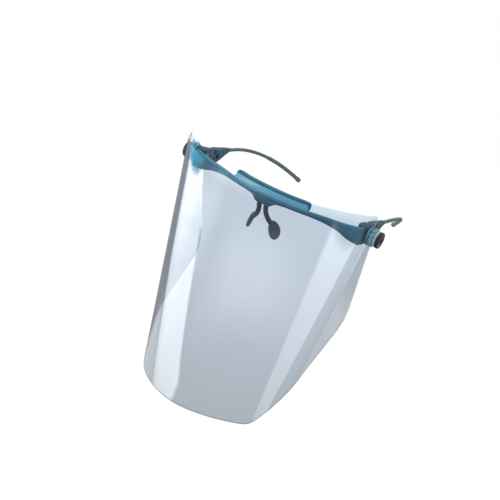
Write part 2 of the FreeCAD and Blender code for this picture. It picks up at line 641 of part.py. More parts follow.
def make_ear_sleeve(arm):
    _, _, radius, turn = hook_arc()
    sleeve = pipe([bend_edge(turn - SLEEVE_LENGTH / radius, turn)], SLEEVE_RADIUS)
    along = (hook_point(turn) - hook_point(turn - END_STEP)).normalize()
    tip = Part.makeSphere(SLEEVE_TIP_RADIUS, hook_point(turn), along)
    return sleeve.fuse(tip).cut(arm).Solids[0]


# ---------------------------------------------------------------- visor


def visor_plan(inset):
    """The closed plan outline inside the sheet: two straight sides, a curved front, a back."""
    width = VISOR_HALF_WIDTH - inset
    depth = VISOR_DEPTH - inset
    sides = []
    fronts = []
    for side in (1, -1):
        front = Part.BezierCurve()
        front.setPoles([Vector(0, -depth, 0), Vector(side * width * FRONT_FULLNESS, -depth, 0),
                        Vector(side * width, -depth * FRONT_FULLNESS, 0),
                        Vector(side * width, 0, 0)])
        fronts.append(front.toShape())
        sides.append(Part.LineSegment(Vector(side * width, 0, 0),
                                      Vector(side * width, SIDE_RUN, 0)).toShape())
    back = Part.LineSegment(Vector(width, SIDE_RUN, 0), Vector(-width, SIDE_RUN, 0)).toShape()
    return Part.Wire(Part.__sortEdges__(fronts + sides + [back]))


def cone_block(inset):
    """Everything inside the cone at an inset from the sheet's outer face."""
    wire = visor_plan(inset)
    apex = Vector(0, APEX_BACK, -APEX_DROP)
    rims = []
    for height in (VISOR_TOP + FRONT_MARGIN, VISOR_CHIN_CORNER - FRONT_MARGIN):
        rim = wire.copy()
        rim.scale(1 + height / APEX_DROP, apex)
        rims.append(rim)
    block = Part.makeLoft(rims, True, True)
    block.rotate(ORIGIN, X_AXIS, VISOR_LEAN)
    return block


def make_visor():
    """The clear sheet: a conical skin trimmed to its side outline, with a hole at each pivot."""
    front = -VISOR_DEPTH - FRONT_MARGIN
    outline = side_prism([(front, VISOR_TOP, 0),
                          (LOBE_FRONT, VISOR_TOP, LOBE_TOP_CORNER),
                          (LOBE_BACK, LOBE_HEIGHT, LOBE_BACK_CORNER),
                          (LOBE_BACK, -LOBE_DROP, 0),
                          (CHEEK_BACK, CHEEK_HEIGHT, CHEEK_CORNER),
                          (JAW_BACK, JAW_HEIGHT, JAW_CORNER),
                          (CHIN_BACK, VISOR_CHIN_CORNER, CHIN_CORNER),
                          (front, VISOR_BOTTOM, 0)],
                         -2 * VISOR_HALF_WIDTH, 2 * VISOR_HALF_WIDTH)
    hole = cylinder(X_AXIS * (-2 * VISOR_HALF_WIDTH), X_AXIS, BUSH_NECK + PIN_FIT,
                    4 * VISOR_HALF_WIDTH)
    skin = cone_block(0).cut(cone_block(SHEET))
    return skin.common(outline).cut(hole).Solids[0]


# ---------------------------------------------------------------- the whole shield


def main():
    bar = make_brow_bar()
    left_and_right = [bar_hole for pin in block_pins(PIN_FIT) for bar_hole in (pin, mirror(pin))]
    for hole in left_and_right + carrier_pins(CARRIER_PIN_RADIUS + PIN_FIT):
        bar = bar.cut(hole)
    bar = bar.cut(bridge_screw_parts(PIN_FIT)).Solids[0]
    arm = make_nose_arm()
    save("brow_bar", bar)
    save("pad_carrier", make_pad_carrier(bar))
    save("carrier_pins", Part.makeCompound(carrier_pins(CARRIER_PIN_RADIUS)))
    save("brow_pad", make_brow_pad())
    save("nose_bridge", make_nose_bridge([arm, mirror(arm)]))
    save("bridge_screw", bridge_screw_parts(0))
    save_pair("nose_arm", arm)
    save_pair("nose_pad", make_nose_pad(arm))
    save_pair("end_block", make_end_block())
    save_pair("block_pins", Part.makeCompound(block_pins(0)))
    save_pair("pivot_screw", pivot_screw_parts(0))
    save_pair("friction_washer", ring(BOSS_FACE, WASHER_FACE, PIVOT_RADIUS + PIN_FIT,
                                      WASHER_RADIUS))
    save_pair("spacer_ring", ring(SPACER_INNER, KNOB_INNER, PIVOT_RADIUS + PIN_FIT,
                                  SPACER_RADIUS))
    save_pair("pivot_knob", make_knob())
    save_pair("visor_bush", make_visor_bush())
    save("visor", make_visor())
    save_pair("hinge_screw", hinge_screw_parts(0))
    save_pair("temple_base", make_temple_base())
    temple_arm = make_temple_arm()
    save_pair("temple_arm", temple_arm)
    save_pair("ear_sleeve", make_ear_sleeve(temple_arm))


main()
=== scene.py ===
"""The visible pieces of a flip-up face shield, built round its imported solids."""
import json
from math import asin, atan2, copysign, cos, exp, hypot, pi, radians, sin, sqrt, tan

import bmesh
import bpy
from bpy.props import FloatProperty, FloatVectorProperty, IntProperty, PointerProperty
from mathutils import Matrix, Vector


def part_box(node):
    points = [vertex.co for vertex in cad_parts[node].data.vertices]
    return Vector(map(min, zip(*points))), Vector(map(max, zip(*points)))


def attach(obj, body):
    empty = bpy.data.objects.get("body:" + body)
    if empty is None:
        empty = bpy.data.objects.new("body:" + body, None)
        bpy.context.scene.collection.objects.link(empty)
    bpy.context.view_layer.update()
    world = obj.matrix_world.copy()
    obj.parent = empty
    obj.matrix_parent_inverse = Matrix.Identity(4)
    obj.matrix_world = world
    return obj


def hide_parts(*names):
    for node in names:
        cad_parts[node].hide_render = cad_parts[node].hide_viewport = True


bl_info = {
    "name": "Flip-up Face Shield",
    "version": (1, 0, 0),
    "blender": (4, 5, 0),
    "location": "3D View > Sidebar > Face Shield",
    "description": "Builds the visible pieces of a flip-up face shield round its packed solids",
    "category": "Add Mesh",
}

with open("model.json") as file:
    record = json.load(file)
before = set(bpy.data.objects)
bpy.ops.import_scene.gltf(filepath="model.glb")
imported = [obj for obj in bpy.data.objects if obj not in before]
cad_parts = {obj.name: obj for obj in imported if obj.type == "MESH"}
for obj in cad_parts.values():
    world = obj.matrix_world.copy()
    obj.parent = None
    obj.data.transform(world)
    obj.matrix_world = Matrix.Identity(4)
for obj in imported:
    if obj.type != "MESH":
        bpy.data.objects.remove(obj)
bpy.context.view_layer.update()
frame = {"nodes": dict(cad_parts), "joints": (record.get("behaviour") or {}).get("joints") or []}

MM = 0.001
X_AXIS, Y_AXIS, Z_AXIS = Vector((1, 0, 0)), Vector((0, 1, 0)), Vector((0, 0, 1))

BAR_LOW, BAR_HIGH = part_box("brow_bar")
BLOCK_LOW, BLOCK_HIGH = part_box("end_block_right")
BUSH_LOW, BUSH_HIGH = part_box("visor_bush_right")
SPACER_LOW, SPACER_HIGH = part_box("spacer_ring_right")
KNOB_LOW, KNOB_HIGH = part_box("pivot_knob_right")
BASE_LOW, BASE_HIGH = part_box("temple_base_right")
PAD_LOW, PAD_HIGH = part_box("brow_pad")
BRIDGE_LOW, BRIDGE_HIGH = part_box("nose_bridge")
CARRIER_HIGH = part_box("pad_carrier")[1]
VISOR_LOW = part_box("visor")[0]
HINGE = next(Vector(j["pos_m"]) for j in frame["joints"] if j["name"] == "temple_fold_right")
TEMPLE_HEIGHT = 3.7 * MM    # of the arm's middle line, over the pivot axis
HUB_RADIUS = 6.55 * MM
SHEET_HOLE = 3.96 * MM      # radius
RUN_WEIGHT = 0.115          # metres that a whole run of the visor's plan curve counts for


# ---------------------------------------------------------------- sizes and colours


def number(name, description, default, **more):
    return FloatProperty(name=name, description=description, default=default, **more)


def length(name, description, default):
    return number(name, description, default, unit="LENGTH", precision=5)


def tilt(name, description, degrees):
    return number(name, description, radians(degrees), subtype="ANGLE")


def colour(name, description, default):
    return FloatVectorProperty(name=name, description=description, default=default, size=3,
                               subtype="COLOR", min=0, max=1)


class ShieldSizes(bpy.types.PropertyGroup):
    bar_thickness: length("Bar thickness", "Front to back of the brow bar", 3.2 * MM)
    bar_edge: length("Bar edge", "Rounding of the bar's long edges", 0.9 * MM)
    bar_crown: length("Bar crown", "How far the bar's front stands proud", 0.35 * MM)
    brow_radius: length("Brow radius", "Radius of the bar's front over the brow", 69 * MM)
    tail_corner: length("Tail corner", "Rounding of the fish-tail's corners", 1.6 * MM)
    pad_loft: length("Pad loft", "How far the brow pad's filling swells its cover", 0.5 * MM)
    sheet: length("Sheet thickness", "Thickness of the clear visor", 0.6 * MM)
    visor_half_width: length("Visor half width", "Side of the visor at the pivot", 72.2 * MM)
    visor_depth: length("Visor depth", "Reach of the visor's front before the pivot", 76 * MM)
    apex_drop: length("Apex drop", "Depth of the visor's cone below the pivot", 760 * MM)
    apex_back: length("Apex back", "How far the cone's apex lies behind the pivot", 2.5 * MM)
    visor_lean: tilt("Visor lean", "Turn of the cone to the chin", 4.25)
    front_fullness: number("Front fullness", "Roundness of the visor's plan curve", 0.43,
                           min=0.2, max=0.7)
    knob_grips: IntProperty(name="Knob grips", description="Number of grips round the knob",
                            default=30, min=8, max=60)
    hub_flutes: IntProperty(name="Hub flutes", description="Number of flutes round the hub",
                            default=10, min=4, max=24)
    hook_reach: length("Hook reach", "Length of the temple's bent stretch", 94.5 * MM)
    hook_drop: length("Hook drop", "Fall of the temple's tip", 21 * MM)
    hook_inward: length("Hook inward", "How far the tip comes towards the head", 20.3 * MM)
    temple_radius: length("Temple radius", "Radius of the temple arm", 1.3 * MM)
    sleeve_radius: length("Sleeve radius", "Radius of the soft ear sleeve", 1.6 * MM)
    sleeve_length: length("Sleeve length", "Length of the soft ear sleeve", 46 * MM)


class ShieldColours(bpy.types.PropertyGroup):
    nylon: colour("Frame nylon", "Teal of the brow bar", (0.055, 0.27, 0.38))
    # Painted shade: the navy that the frame nylon turns to low on the fish-tails, for shade under
    # light from above.
    nylon_painted_shade: colour("Frame nylon, low", "Navy low on the fish-tails", (0.040, 0.13, 0.20))
    hub: colour("Hub nylon", "Light teal of the fluted hubs", (0.16, 0.44, 0.52))
    block: colour("Block nylon", "Navy of the end blocks", (0.020, 0.085, 0.145))
    # Painted light: a lighter copy of the frame nylon, for the light that falls on the carrier's
    # upward face.
    light_nylon: colour("Light nylon", "Light teal of the pad's carrier", (0.17, 0.50, 0.64))
    foam: colour("Pad foam", "Dark teal of the brow pad", (0.05, 0.20, 0.29))
    nose: colour("Nose plastic", "Dark blue of the nose piece", (0.060, 0.105, 0.165))
    temple: colour("Temple plastic", "Slate of the temple arms", (0.145, 0.220, 0.255))
    hinge: colour("Temple root", "Navy of the temples' rigid roots", (0.012, 0.120, 0.180))
    sleeve: colour("Ear sleeve", "Slate of the soft ear sleeves", (0.140, 0.205, 0.235))
    knob: colour("Knob", "Black of the side knobs", (0.006, 0.020, 0.030))
    spacer: colour("Spacer", "Off-white of the spacer rings", (0.62, 0.68, 0.70))
    sheet_top: colour("Sheet tint, rim", "What a face passes over the brow", (0.84, 0.94, 0.985))
    sheet_middle: colour("Sheet tint, face", "What it passes before the face",
                         (0.735, 0.785, 0.85))
    sheet_bottom: colour("Sheet tint, chin", "What it passes at the chin", (0.63, 0.67, 0.705))
    sheet_edge: colour("Sheet edge", "What the upper cut edge passes", (0.92, 0.95, 0.97))
    # Painted shade: a dark tint for the line along the sheet's lower edge.
    sheet_rim: colour("Sheet rim", "What the lower cut edge passes", (0.50, 0.56, 0.60))
    steel: colour("Steel", "Colour of the screws", (0.30, 0.33, 0.36))
    rubber: colour("Washer rubber", "Black of the friction washers", (0.02, 0.022, 0.025))


class ShieldStudio(bpy.types.PropertyGroup):
    target: FloatVectorProperty(name="Target", description="Point that the camera looks at",
                                default=(0, -0.030, -0.070), size=3, subtype="XYZ",
                                unit="LENGTH")
    distance: length("Distance", "Camera's distance from its target", 0.700)
    azimuth: tilt("Azimuth", "Turn of the camera round the shield", 22.45)
    elevation: tilt("Elevation", "Height of the camera", 18.61)
    roll: tilt("Roll", "Tilt of the camera", 20.44)
    lens: number("Lens", "Focal length of the camera", 73.58, unit="CAMERA")
    shift_x: number("Shift X", "Sideways shift of the frame", 0.0475)
    shift_y: number("Shift Y", "Upward shift of the frame", 0.0789)
    floor_drop: length("Floor drop", "How far the floor lies below the shield", 1.25)
    board_level: length("Board level", "Height of the boards that the sheet mirrors", -0.60)
    board_dim: number("Board shade", "Glow of the wide dim boards", 0.37, min=0)
    board_glow: number("Board glow", "Glow of the bright boards", 2.6, min=0)
    ambient: number("Ambient", "Strength of the even room light", 0.40, min=0)


# ---------------------------------------------------------------- shader maths


class Value:
    """A number in a material. Python's operators on it add the Math nodes."""

    def __init__(self, finish, socket):
        self.finish, self.socket = finish, socket

    def math(self, operation, *terms):
        return self.finish.node("ShaderNodeMath", {"operation": operation},
                                dict(enumerate(terms)))

    def __add__(self, other):
        return self.math("ADD", self, other)

    def __sub__(self, other):
        return self.math("SUBTRACT", self, other)

    def __rsub__(self, other):
        return self.math("SUBTRACT", other, self)

    def __mul__(self, other):
        return self.math("MULTIPLY", self, other)

    def __truediv__(self, other):
        return self.math("DIVIDE", self, other)

    def __pow__(self, other):
        return self.math("POWER", self, other)

    __radd__, __rmul__ = __add__, __mul__


class Finish:
    """A material in the making, or the nodes of another owner, such as the world."""

    def __init__(self, name, owner=None):
        self.owner = owner or bpy.data.materials.new(name)
        self.owner.use_nodes = True
        self.tree = self.owner.node_tree
        self.tree.nodes.clear()

    def node(self, kind, settings=None, inputs=None, output=None):
        """Adds a node: first its settings, then its sockets' values or links."""
        made = self.tree.nodes.new(kind)
        for key, value in (settings or {}).items():
            if key == "stops":
                self.set_stops(made.color_ramp.elements, value)
            else:
                setattr(made, key, value)
        named = {socket.name: socket for socket in made.inputs if socket.enabled}
        for key, value in (inputs or {}).items():
            socket = named[key] if key in named else made.inputs[key]
            if isinstance(value, Value):
                self.tree.links.new(value.socket, socket)
            else:
                socket.default_value = value
        return Value(self, next((socket for socket in made.outputs
                                 if socket.enabled and output in (None, socket.name)), None))

    def set_stops(self, elements, stops):
        """Stops are (place, grey) pairs."""
        while len(elements) < len(stops):
            elements.new(1)
        for element, (place, grey) in zip(elements, stops):
            element.position, element.color = place, (grey, grey, grey, 1)

    def place(self):
        """Where a point of the surface is, in metres."""
        return self.node("ShaderNodeTexCoord", output="Object")

    def part(self, vector, axis):
        """One of a vector's three numbers."""
        return self.node("ShaderNodeSeparateXYZ", None, {"Vector": vector}, axis)

    def speckle(self, scale, detail=3, roughness=0.5):
        """Noise from 0 to 1, with features about 1/scale metres across."""
        return self.node("ShaderNodeTexNoise", None, {"Vector": self.place(), "Scale": scale,
                                                      "Detail": detail, "Roughness": roughness})

    def stops(self, value, stops):
        return self.node("ShaderNodeValToRGB", {"stops": stops}, {"Fac": value})

    def between(self, share, first, second, stops=None):
        """A colour that goes from the first to the second."""
        share = self.stops(share, stops) if stops else share
        return self.node("ShaderNodeMix", {"data_type": "RGBA"},
                         {"Factor": share, "A": first, "B": second})

    def bump(self, height, depth, strength, onto=None):
        inputs = {"Height": height, "Distance": depth, "Strength": strength}
        return self.node("ShaderNodeBump", None, {**inputs, "Normal": onto} if onto else inputs)

    def clear(self, tint=(1, 1, 1)):
        return self.node("ShaderNodeBsdfTransparent", None, {"Color": rgba(tint)})

    def glow(self, tone, strength=1.0):
        return self.node("ShaderNodeEmission", None, {"Color": tone, "Strength": strength})

    def mixed(self, share, first, second):
        """One shader that turns into another."""
        return self.node("ShaderNodeMixShader", None, {0: share, 1: first, 2: second})

    def body(self, tone, roughness, **others):
        """A Principled shader; the others are socket names with _ for their spaces."""
        inputs = {key.replace("_", " "): value for key, value in others.items()}
        return self.node("ShaderNodeBsdfPrincipled", None,
                         {"Base Color": tone, "Roughness": roughness, **inputs})

    def end(self, shader, kind="ShaderNodeOutputMaterial"):
        self.node(kind, None, {"Surface": shader})
        return self.owner


def rgba(rgb, scale=1.0):
    return (*(min(c * scale, 1) for c in rgb), 1)


def moulded(name, rgb, roughness=0.42, coat=0.0, shade=0.16, low=None):
    """Moulded plastic: fine spark-eroded grain, slow shifts of tone, and paler, rougher patches
    whose paleness is a painted sheen. A second colour, where given, is painted shade: it takes
    over towards the lower edge of the fish-tails."""
    finish = Finish(name)
    grain = 0.00003
    painted_sheen_and_wear = finish.speckle(160, 5, 0.6)
    base = finish.between(finish.speckle(55, 4), rgba(rgb, 1 - shade), rgba(rgb, 1 + shade),
                          ((0.3, 0), (0.7, 1)))
    # Painted sheen: the patches are paler in colour; they are also rougher, as wear.
    tone_with_painted_light = finish.between(painted_sheen_and_wear, base, rgba([c * 0.8 + 0.10 for c in rgb]),
                            ((0.62, 0), (0.8, 0.35)))
    # Painted shade: from z = -2.5 mm down to -8 mm the colour turns to the second, darker one, as
    # if lit from above.
    if low:
        rise = (finish.part(finish.place(), "Z") + 0.0080) / 0.0055
        tone_with_painted_light = finish.between(rise, rgba(low), tone_with_painted_light, ((0.0, 0), (1.0, 1)))
    relief = finish.bump(finish.speckle(1500, 2), grain, 0.6)
    relief = finish.bump(finish.speckle(240, 2, 0.4), grain * 2, 0.35, relief)
    return finish.end(finish.body(tone_with_painted_light, roughness - 0.06 + painted_sheen_and_wear * 0.14, Normal=relief,
                                  Coat_Weight=coat, Coat_Roughness=0.25))


def foam(name, rgb):
    """Closed-cell foam: a skin of small pores, darkened in the colour as painted shade, over slow
    dimples, with a soft sheen.
    """
    finish = Finish(name)
    pores = finish.node("ShaderNodeTexVoronoi", {"feature": "F1"},
                        {"Vector": finish.place(), "Scale": 1900, "Randomness": 1.0})
    tone = finish.speckle(90, 3)
    base = finish.between(tone, rgba(rgb, 0.86), rgba(rgb, 1.16), ((0.3, 0), (0.7, 1)))
    # Painted shade: the pores' hollows are darkened in the colour.
    pores_painted_shade = finish.between(pores, base, rgba(rgb, 0.5), ((0.0, 0.55), (0.35, 0)))
    relief = finish.bump(finish.stops(pores, ((0.0, 0), (0.45, 1))), 0.00007, 0.7)
    relief = finish.bump(finish.speckle(420, 3), 0.00015, 0.6, relief)
    return finish.end(finish.body(pores_painted_shade, 0.78 + tone * 0.12, Normal=relief, Sheen_Weight=0.25,
                                  Sheen_Roughness=0.5))


def soft_rubber(name, rgb, roughness=0.55):
    """Soft rubber with a fine bloom."""
    finish = Finish(name)
    bloom = finish.speckle(300, 5, 0.6)
    base = finish.between(bloom, rgba(rgb), rgba([c * 1.35 + 0.006 for c in rgb]),
                          ((0.35, 0), (0.75, 0.8)))
    relief = finish.bump(finish.speckle(2200, 2), 0.00003, 0.6)
    return finish.end(finish.body(base, roughness + bloom * 0.15, Normal=relief,
                                  Sheen_Weight=0.12, Sheen_Roughness=0.4))


def brushed_steel(name, rgb):
    """Turned steel with fine rings of tool marks."""
    finish = Finish(name)
    marks = finish.node("ShaderNodeTexWave", {"wave_type": "RINGS", "rings_direction": "X"},
                        {"Vector": finish.place(), "Scale": 900, "Distortion": 2.0,
                         "Detail": 2.0})
    stain = finish.speckle(500, 4)
    base = finish.between(stain, rgba(rgb), rgba(rgb, 0.7), ((0.4, 0), (0.8, 0.5)))
    return finish.end(finish.body(base, 0.26 + stain * 0.16, Metallic=1.0,
                                  Normal=finish.bump(marks, 0.00001, 0.5)))


def clear_sheet(name, top, middle, bottom):
    """Clear polished sheet: its tint deepens downwards, and it mirrors the room."""
    finish = Finish(name)
    height = (finish.part(finish.place(), "Z") + 0.160) / 0.180
    below_brow = finish.stops(height, ((0.93, 1), (0.99, 0)))
    at_chin = finish.stops(height, ((0.0, 1), (0.85, 0)))
    upper = finish.mixed(below_brow, finish.clear(top), finish.clear(middle))
    through = finish.mixed(at_chin, upper, finish.clear(bottom))
    mirror = finish.node("ShaderNodeBsdfGlossy", None,
                         {"Color": (1, 1, 1, 1), "Roughness": 0.03 + finish.speckle(35, 4) * 0.02})
    slant = finish.node("ShaderNodeLayerWeight", None, {"Blend": 0.5}, "Facing")
    return finish.end(finish.mixed(0.04 + slant**5 * 0.96, through, mirror))


def cut_edge(name, tint, share):
    """The sheet's cut edge: painted darker, as painted shade for light that runs along the sheet,
    with a faint frost.
    """
    finish = Finish(name)
    face = finish.body(rgba(tint, 0.9), 0.25 + finish.speckle(700, 3) * 0.2)
    return finish.end(finish.mixed(share, finish.clear(tint), face))


# ---------------------------------------------------------------- mesh tools


def set_all(target, **values):
    for key, value in values.items():
        setattr(target, key, value)
    return target


def linked(name, data):
    """A new object in the scene."""
    made = bpy.data.objects.new(name, data)
    bpy.context.scene.collection.objects.link(made)
    return made


def mesh_from(points, faces, merge=1e-7, paints=None):
    """A mesh whose meeting points are merged and whose faces look outwards."""
    mesh = bpy.data.meshes.new("mesh")
    mesh.from_pydata([tuple(p) for p in points], [], faces)
    if paints:
        mesh.polygons.foreach_set("material_index", paints)
    mesh.validate()
    built = bmesh.new()
    built.from_mesh(mesh)
    bmesh.ops.remove_doubles(built, verts=built.verts, dist=merge)
    bmesh.ops.recalc_face_normals(built, faces=built.faces)
    built.to_mesh(mesh)
    built.free()
    return mesh


def loft(rings):
    """A skin over closed rings of equally many points, with its ends closed."""
    count = len(rings[0])
    last = (len(rings) - 1) * count
    faces = [(low + i, low + (i + 1) % count, low + (i + 1) % count + count, low + i + count)
             for low in range(0, last, count) for i in range(count)]
    faces += [tuple(range(count))[::-1], tuple(range(last, last + count))]
    return mesh_from([point for ring in rings for point in ring], faces)


def mirrored(mesh):
    """A copy of a mesh on the other side of the middle plane."""
    copy = mesh.copy()
    copy.transform(Matrix.Scale(-1, 4, X_AXIS))
    copy.flip_normals()
    return copy


def add_step(piece, kind, **settings):
    """Adds a modifier."""
    return set_all(piece.modifiers.new(kind.title(), kind), **settings)


def apply_steps(piece):
    """Makes the modifiers' result the piece's own mesh."""
    graph = bpy.context.evaluated_depsgraph_get()
    final = bpy.data.meshes.new_from_object(piece.evaluated_get(graph))
    piece.modifiers.clear()
    piece.data = final


def finished(base, *tools):
    """The mesh that the modifiers leave, with the objects that carried them removed."""
    apply_steps(base)
    mesh = base.data
    for used in (base, *tools):
        bpy.data.objects.remove(used)
    return mesh


def combine(operation, *meshes):
    """Joins other meshes to the first, or cuts them from it."""
    base, *tools = [linked("scratch", mesh) for mesh in meshes]
    for tool in tools:
        add_step(base, "BOOLEAN", operation=operation, object=tool, solver="EXACT")
    return finished(base, *tools)


def bevelled(mesh, width, segments, angle):
    """Rounds the sharp edges of a mesh."""
    base = linked("scratch", mesh)
    add_step(base, "BEVEL", width=width, segments=segments, limit_method="ANGLE",
             angle_limit=radians(angle), harden_normals=False)
    return finished(base)


def rounded_corners(corners, steps):
    """Points along a closed outline of (u, v, radius) corners."""
    points = []
    for index, (u, v, radius) in enumerate(corners):
        corner = Vector((u, v))
        if radius <= 0:
            points.append(corner)
            continue
        to_last, to_next = ((Vector(corners[near][:2]) - corner).normalized()
                            for near in (index - 1, (index + 1) % len(corners)))
        half = to_last.angle(to_next) / 2
        reach = radius / tan(half)
        centre = corner + (to_last + to_next).normalized() * (radius / sin(half))
        start, end = corner + to_last * reach - centre, corner + to_next * reach - centre
        turn = start.angle_signed(end)
        points += [centre + Matrix.Rotation(-turn * step / steps, 2) @ start
                   for step in range(steps + 1)]
    return points


def corner_arc(u, v, edge, quarter, steps):
    """A rounded corner of a section: one quarter of the circle round (u, v)."""
    turns = (pi / 2 * (quarter + step / steps) for step in range(steps + 1))
    return [(u + edge * cos(turn), v + edge * sin(turn)) for turn in turns]


def prism(outline, low, high, upright=False):
    """A side-view outline carried sideways from low to high, or a plan one upwards."""
    return loft([[Vector((p.x, p.y, level) if upright else (level, p.x, p.y)) for p in outline]
                 for level in (low, high)])


def turned(profile, centre=Vector((0, 0, 0)), axis=X_AXIS, segments=72, reach=None):
    """A turned body: profile holds (distance along the axis, radius) from end to end."""
    side = Y_AXIS if abs(axis.x) > 0.5 else X_AXIS
    third = axis.cross(side)
    turns = [2 * pi * index / segments for index in range(segments)]
    return loft([[centre + axis * along + (side * cos(turn) + third * sin(turn))
                  * (reach(along, radius, turn) if reach else radius) for turn in turns]
                 for along, radius in profile])


def rounded_disc(low, high, radius, edge):
    """The profile of a disc with rounded rims."""
    inner = radius - edge
    return [(low, 0.02 * radius), (low, inner * 0.5),
            *corner_arc(low + edge, inner, edge, 1, 5)[::-1],
            *corner_arc(high - edge, inner, edge, 0, 5)[::-1],
            (high, inner * 0.5), (high, 0.02 * radius)]


def tube(path, radii, sides):
    """A round rod along points, its radius given at each, with domed ends."""
    stations = []
    last, dome = len(path) - 1, 5
    for index, (centre, radius) in enumerate(zip(path, radii)):
        tangent = (path[min(index + 1, last)] - path[max(index - 1, 0)]).normalized()
        turns = [0]
        if index == 0:
            turns = [-pi / 2 * (1 - (step + 0.3) / dome) for step in range(dome)] + turns
        if index == last:
            turns += [pi / 2 * min((step - 0.3 * (step == dome)) / dome, 0.98)
                      for step in range(1, dome + 1)]
        stations += [(centre + tangent * radius * sin(turn), tangent, radius * cos(turn))
                     for turn in turns]
    normal = stations[0][1].orthogonal().normalized()
    rings = []
    for centre, tangent, radius in stations:
        normal = (normal - tangent * normal.dot(tangent)).normalized()
        across = tangent.cross(normal)
        rings.append([centre + (normal * cos(turn) + across * sin(turn)) * radius
                      for turn in (2 * pi * index / sides for index in range(sides))])
    return loft(rings)


def smooth_step(value):
    held = min(max(value, 0), 1)
    return held * held * (3 - 2 * held)


# ---------------------------------------------------------------- brow bar and pad


def bar_plan(sizes, count=150):
    """Points and outward directions along the bar's front, from the left end to the right."""
    half, brow, brow_centre = BAR_HIGH.x, sizes.brow_radius, sizes.brow_radius + BAR_LOW.y
    inner = half - 6.3 * MM
    end_front = BAR_HIGH.y - sizes.bar_thickness
    rise = brow_centre - end_front
    end_radius = (inner**2 + rise**2 - brow**2) / (2 * (brow - rise))
    centre = Vector((inner, end_front - end_radius, 0))
    touch = atan2(centre.x, brow_centre - centre.y)
    brow_run, end_run = brow * touch, end_radius * touch
    whole = brow_run + end_run + half - inner
    stations = []
    for index in range(count + 1):
        along = whole * (2 * index / count - 1)
        past = abs(along) - brow_run
        turn = abs(along) / brow if past <= 0 else max(touch - past / end_radius, 0)
        out = Vector((sin(turn), -cos(turn), 0))
        point = (Vector((0, brow_centre, 0)) + out * brow if past <= 0
                 else centre - out * end_radius + X_AXIS * max(past - end_run, 0))
        for each in (point, out):
            each.x = copysign(each.x, along)
        stations.append((point, out))
    return stations


def curve_height(x, stops):
    """A smooth height through (x, z) stops: level at the first, held before and after them."""
    places, heights = zip(*stops)
    x, last = min(max(abs(x), places[0]), places[-1]), len(stops) - 1
    start = next(index for index in range(last) if x <= places[index + 1])

    def slope(index):
        after = min(index + 1, last)
        return index and ((heights[after] - heights[index - 1])
                          / (places[after] - places[index - 1]))

    run = places[start + 1] - places[start]
    t = (x - places[start]) / run
    return ((2 * t**3 - 3 * t**2 + 1) * heights[start] + (t**3 - 2 * t**2 + t) * run * slope(start)
            + (3 * t**2 - 2 * t**3) * heights[start + 1] + (t**3 - t**2) * run * slope(start + 1))


def bar_ring(point, out, thickness, low, high, edge, crown, shrink=0):
    """A section of the bar: rounded edges, a crowned front and a flat back."""
    low, high = low + shrink, high - shrink
    edge = min(edge, (high - low) / 2.2)
    front, back = -shrink - edge, -thickness + shrink + edge
    bottom, top = low + edge, high - edge
    shares = [step / 6 for step in range(1, 6)]
    ring = [*corner_arc(front, bottom, edge, -1, 4),
            *((-shrink + crown * sin(pi * share) ** 0.8, bottom + (top - bottom) * share)
              for share in shares),
            *corner_arc(front, top, edge, 0, 4), *corner_arc(back, top, edge, 1, 4),
            *corner_arc(back, bottom, edge, 2, 4)]
    return [point + out * u + Z_AXIS * v for u, v in ring]


def build_brow_bar(sizes):
    """The brow bar, drawn out into a fish-tail at each end."""
    half, corner = BAR_HIGH.x, sizes.tail_corner
    places = (29 * MM, half - 18.3 * MM, half - 9.3 * MM, half)
    top = list(zip(places, (1.1 * MM, 1.6 * MM, 2.8 * MM, BAR_HIGH.z)))
    bottom = list(zip(places, (-2.2 * MM, -4.4 * MM, -7.2 * MM, BAR_LOW.z)))
    rings = []
    stations = bar_plan(sizes)
    for point, out in stations:
        near_end = max(corner - (half - abs(point.x)), 0)
        cut = corner - sqrt(max(corner**2 - near_end**2, 0))
        shrink = 0 if 0 < len(rings) < len(stations) - 1 else 0.5 * MM
        rings.append(bar_ring(point, out, sizes.bar_thickness, curve_height(point.x, bottom) + cut,
                              curve_height(point.x, top) - cut, sizes.bar_edge,
                              sizes.bar_crown, shrink))
    return loft(rings)


def brow_ring(sizes, turn, section):
    """A section of (radius, height) points, turned to a place along the brow."""
    centre = sizes.brow_radius + BAR_LOW.y
    return [Vector((radius * sin(turn), centre - radius * cos(turn), z)) for radius, z in section]


def build_pad_carrier(sizes):
    """The light strip that slopes up from the bar to hold the brow pad."""
    half, corner, foot, lip = CARRIER_HIGH.x, 1.5 * MM, 0.5 * MM, 0.35 * MM
    front, back = sizes.brow_radius - 0.5 * MM, sizes.brow_radius - sizes.bar_thickness
    wall = back - 1.0 * MM
    rings = []
    for index in range(73):
        share = index / 36 - 1
        turn = asin(half / back) * (sin(share * pi / 2) * 0.25 + share * 0.75)
        inset = max(0, corner - half + abs(back * sin(turn)))
        cut = corner - sqrt(max(corner**2 - inset**2, 0))
        high, low = CARRIER_HIGH.z - cut, foot - 1.4 * MM + cut
        slope = (high - foot) / (front - back)
        section = [(front, foot), (front - 0.15 * MM, foot + 0.45 * MM),
                   (back + lip + 0.3 * MM, high - (lip + 0.3 * MM) * slope),
                   (back + 0.15 * MM, high - 0.1 * MM), (back - 0.3 * MM, high),
                   (wall + 0.25 * MM, high - 0.05 * MM), (wall, high - 0.4 * MM), (wall, low),
                   (back - 0.05 * MM, low), (back - 0.02 * MM, foot)]
        rings.append(brow_ring(sizes, turn, section))
    return bevelled(loft(rings), 0.2 * MM, 2, 30)


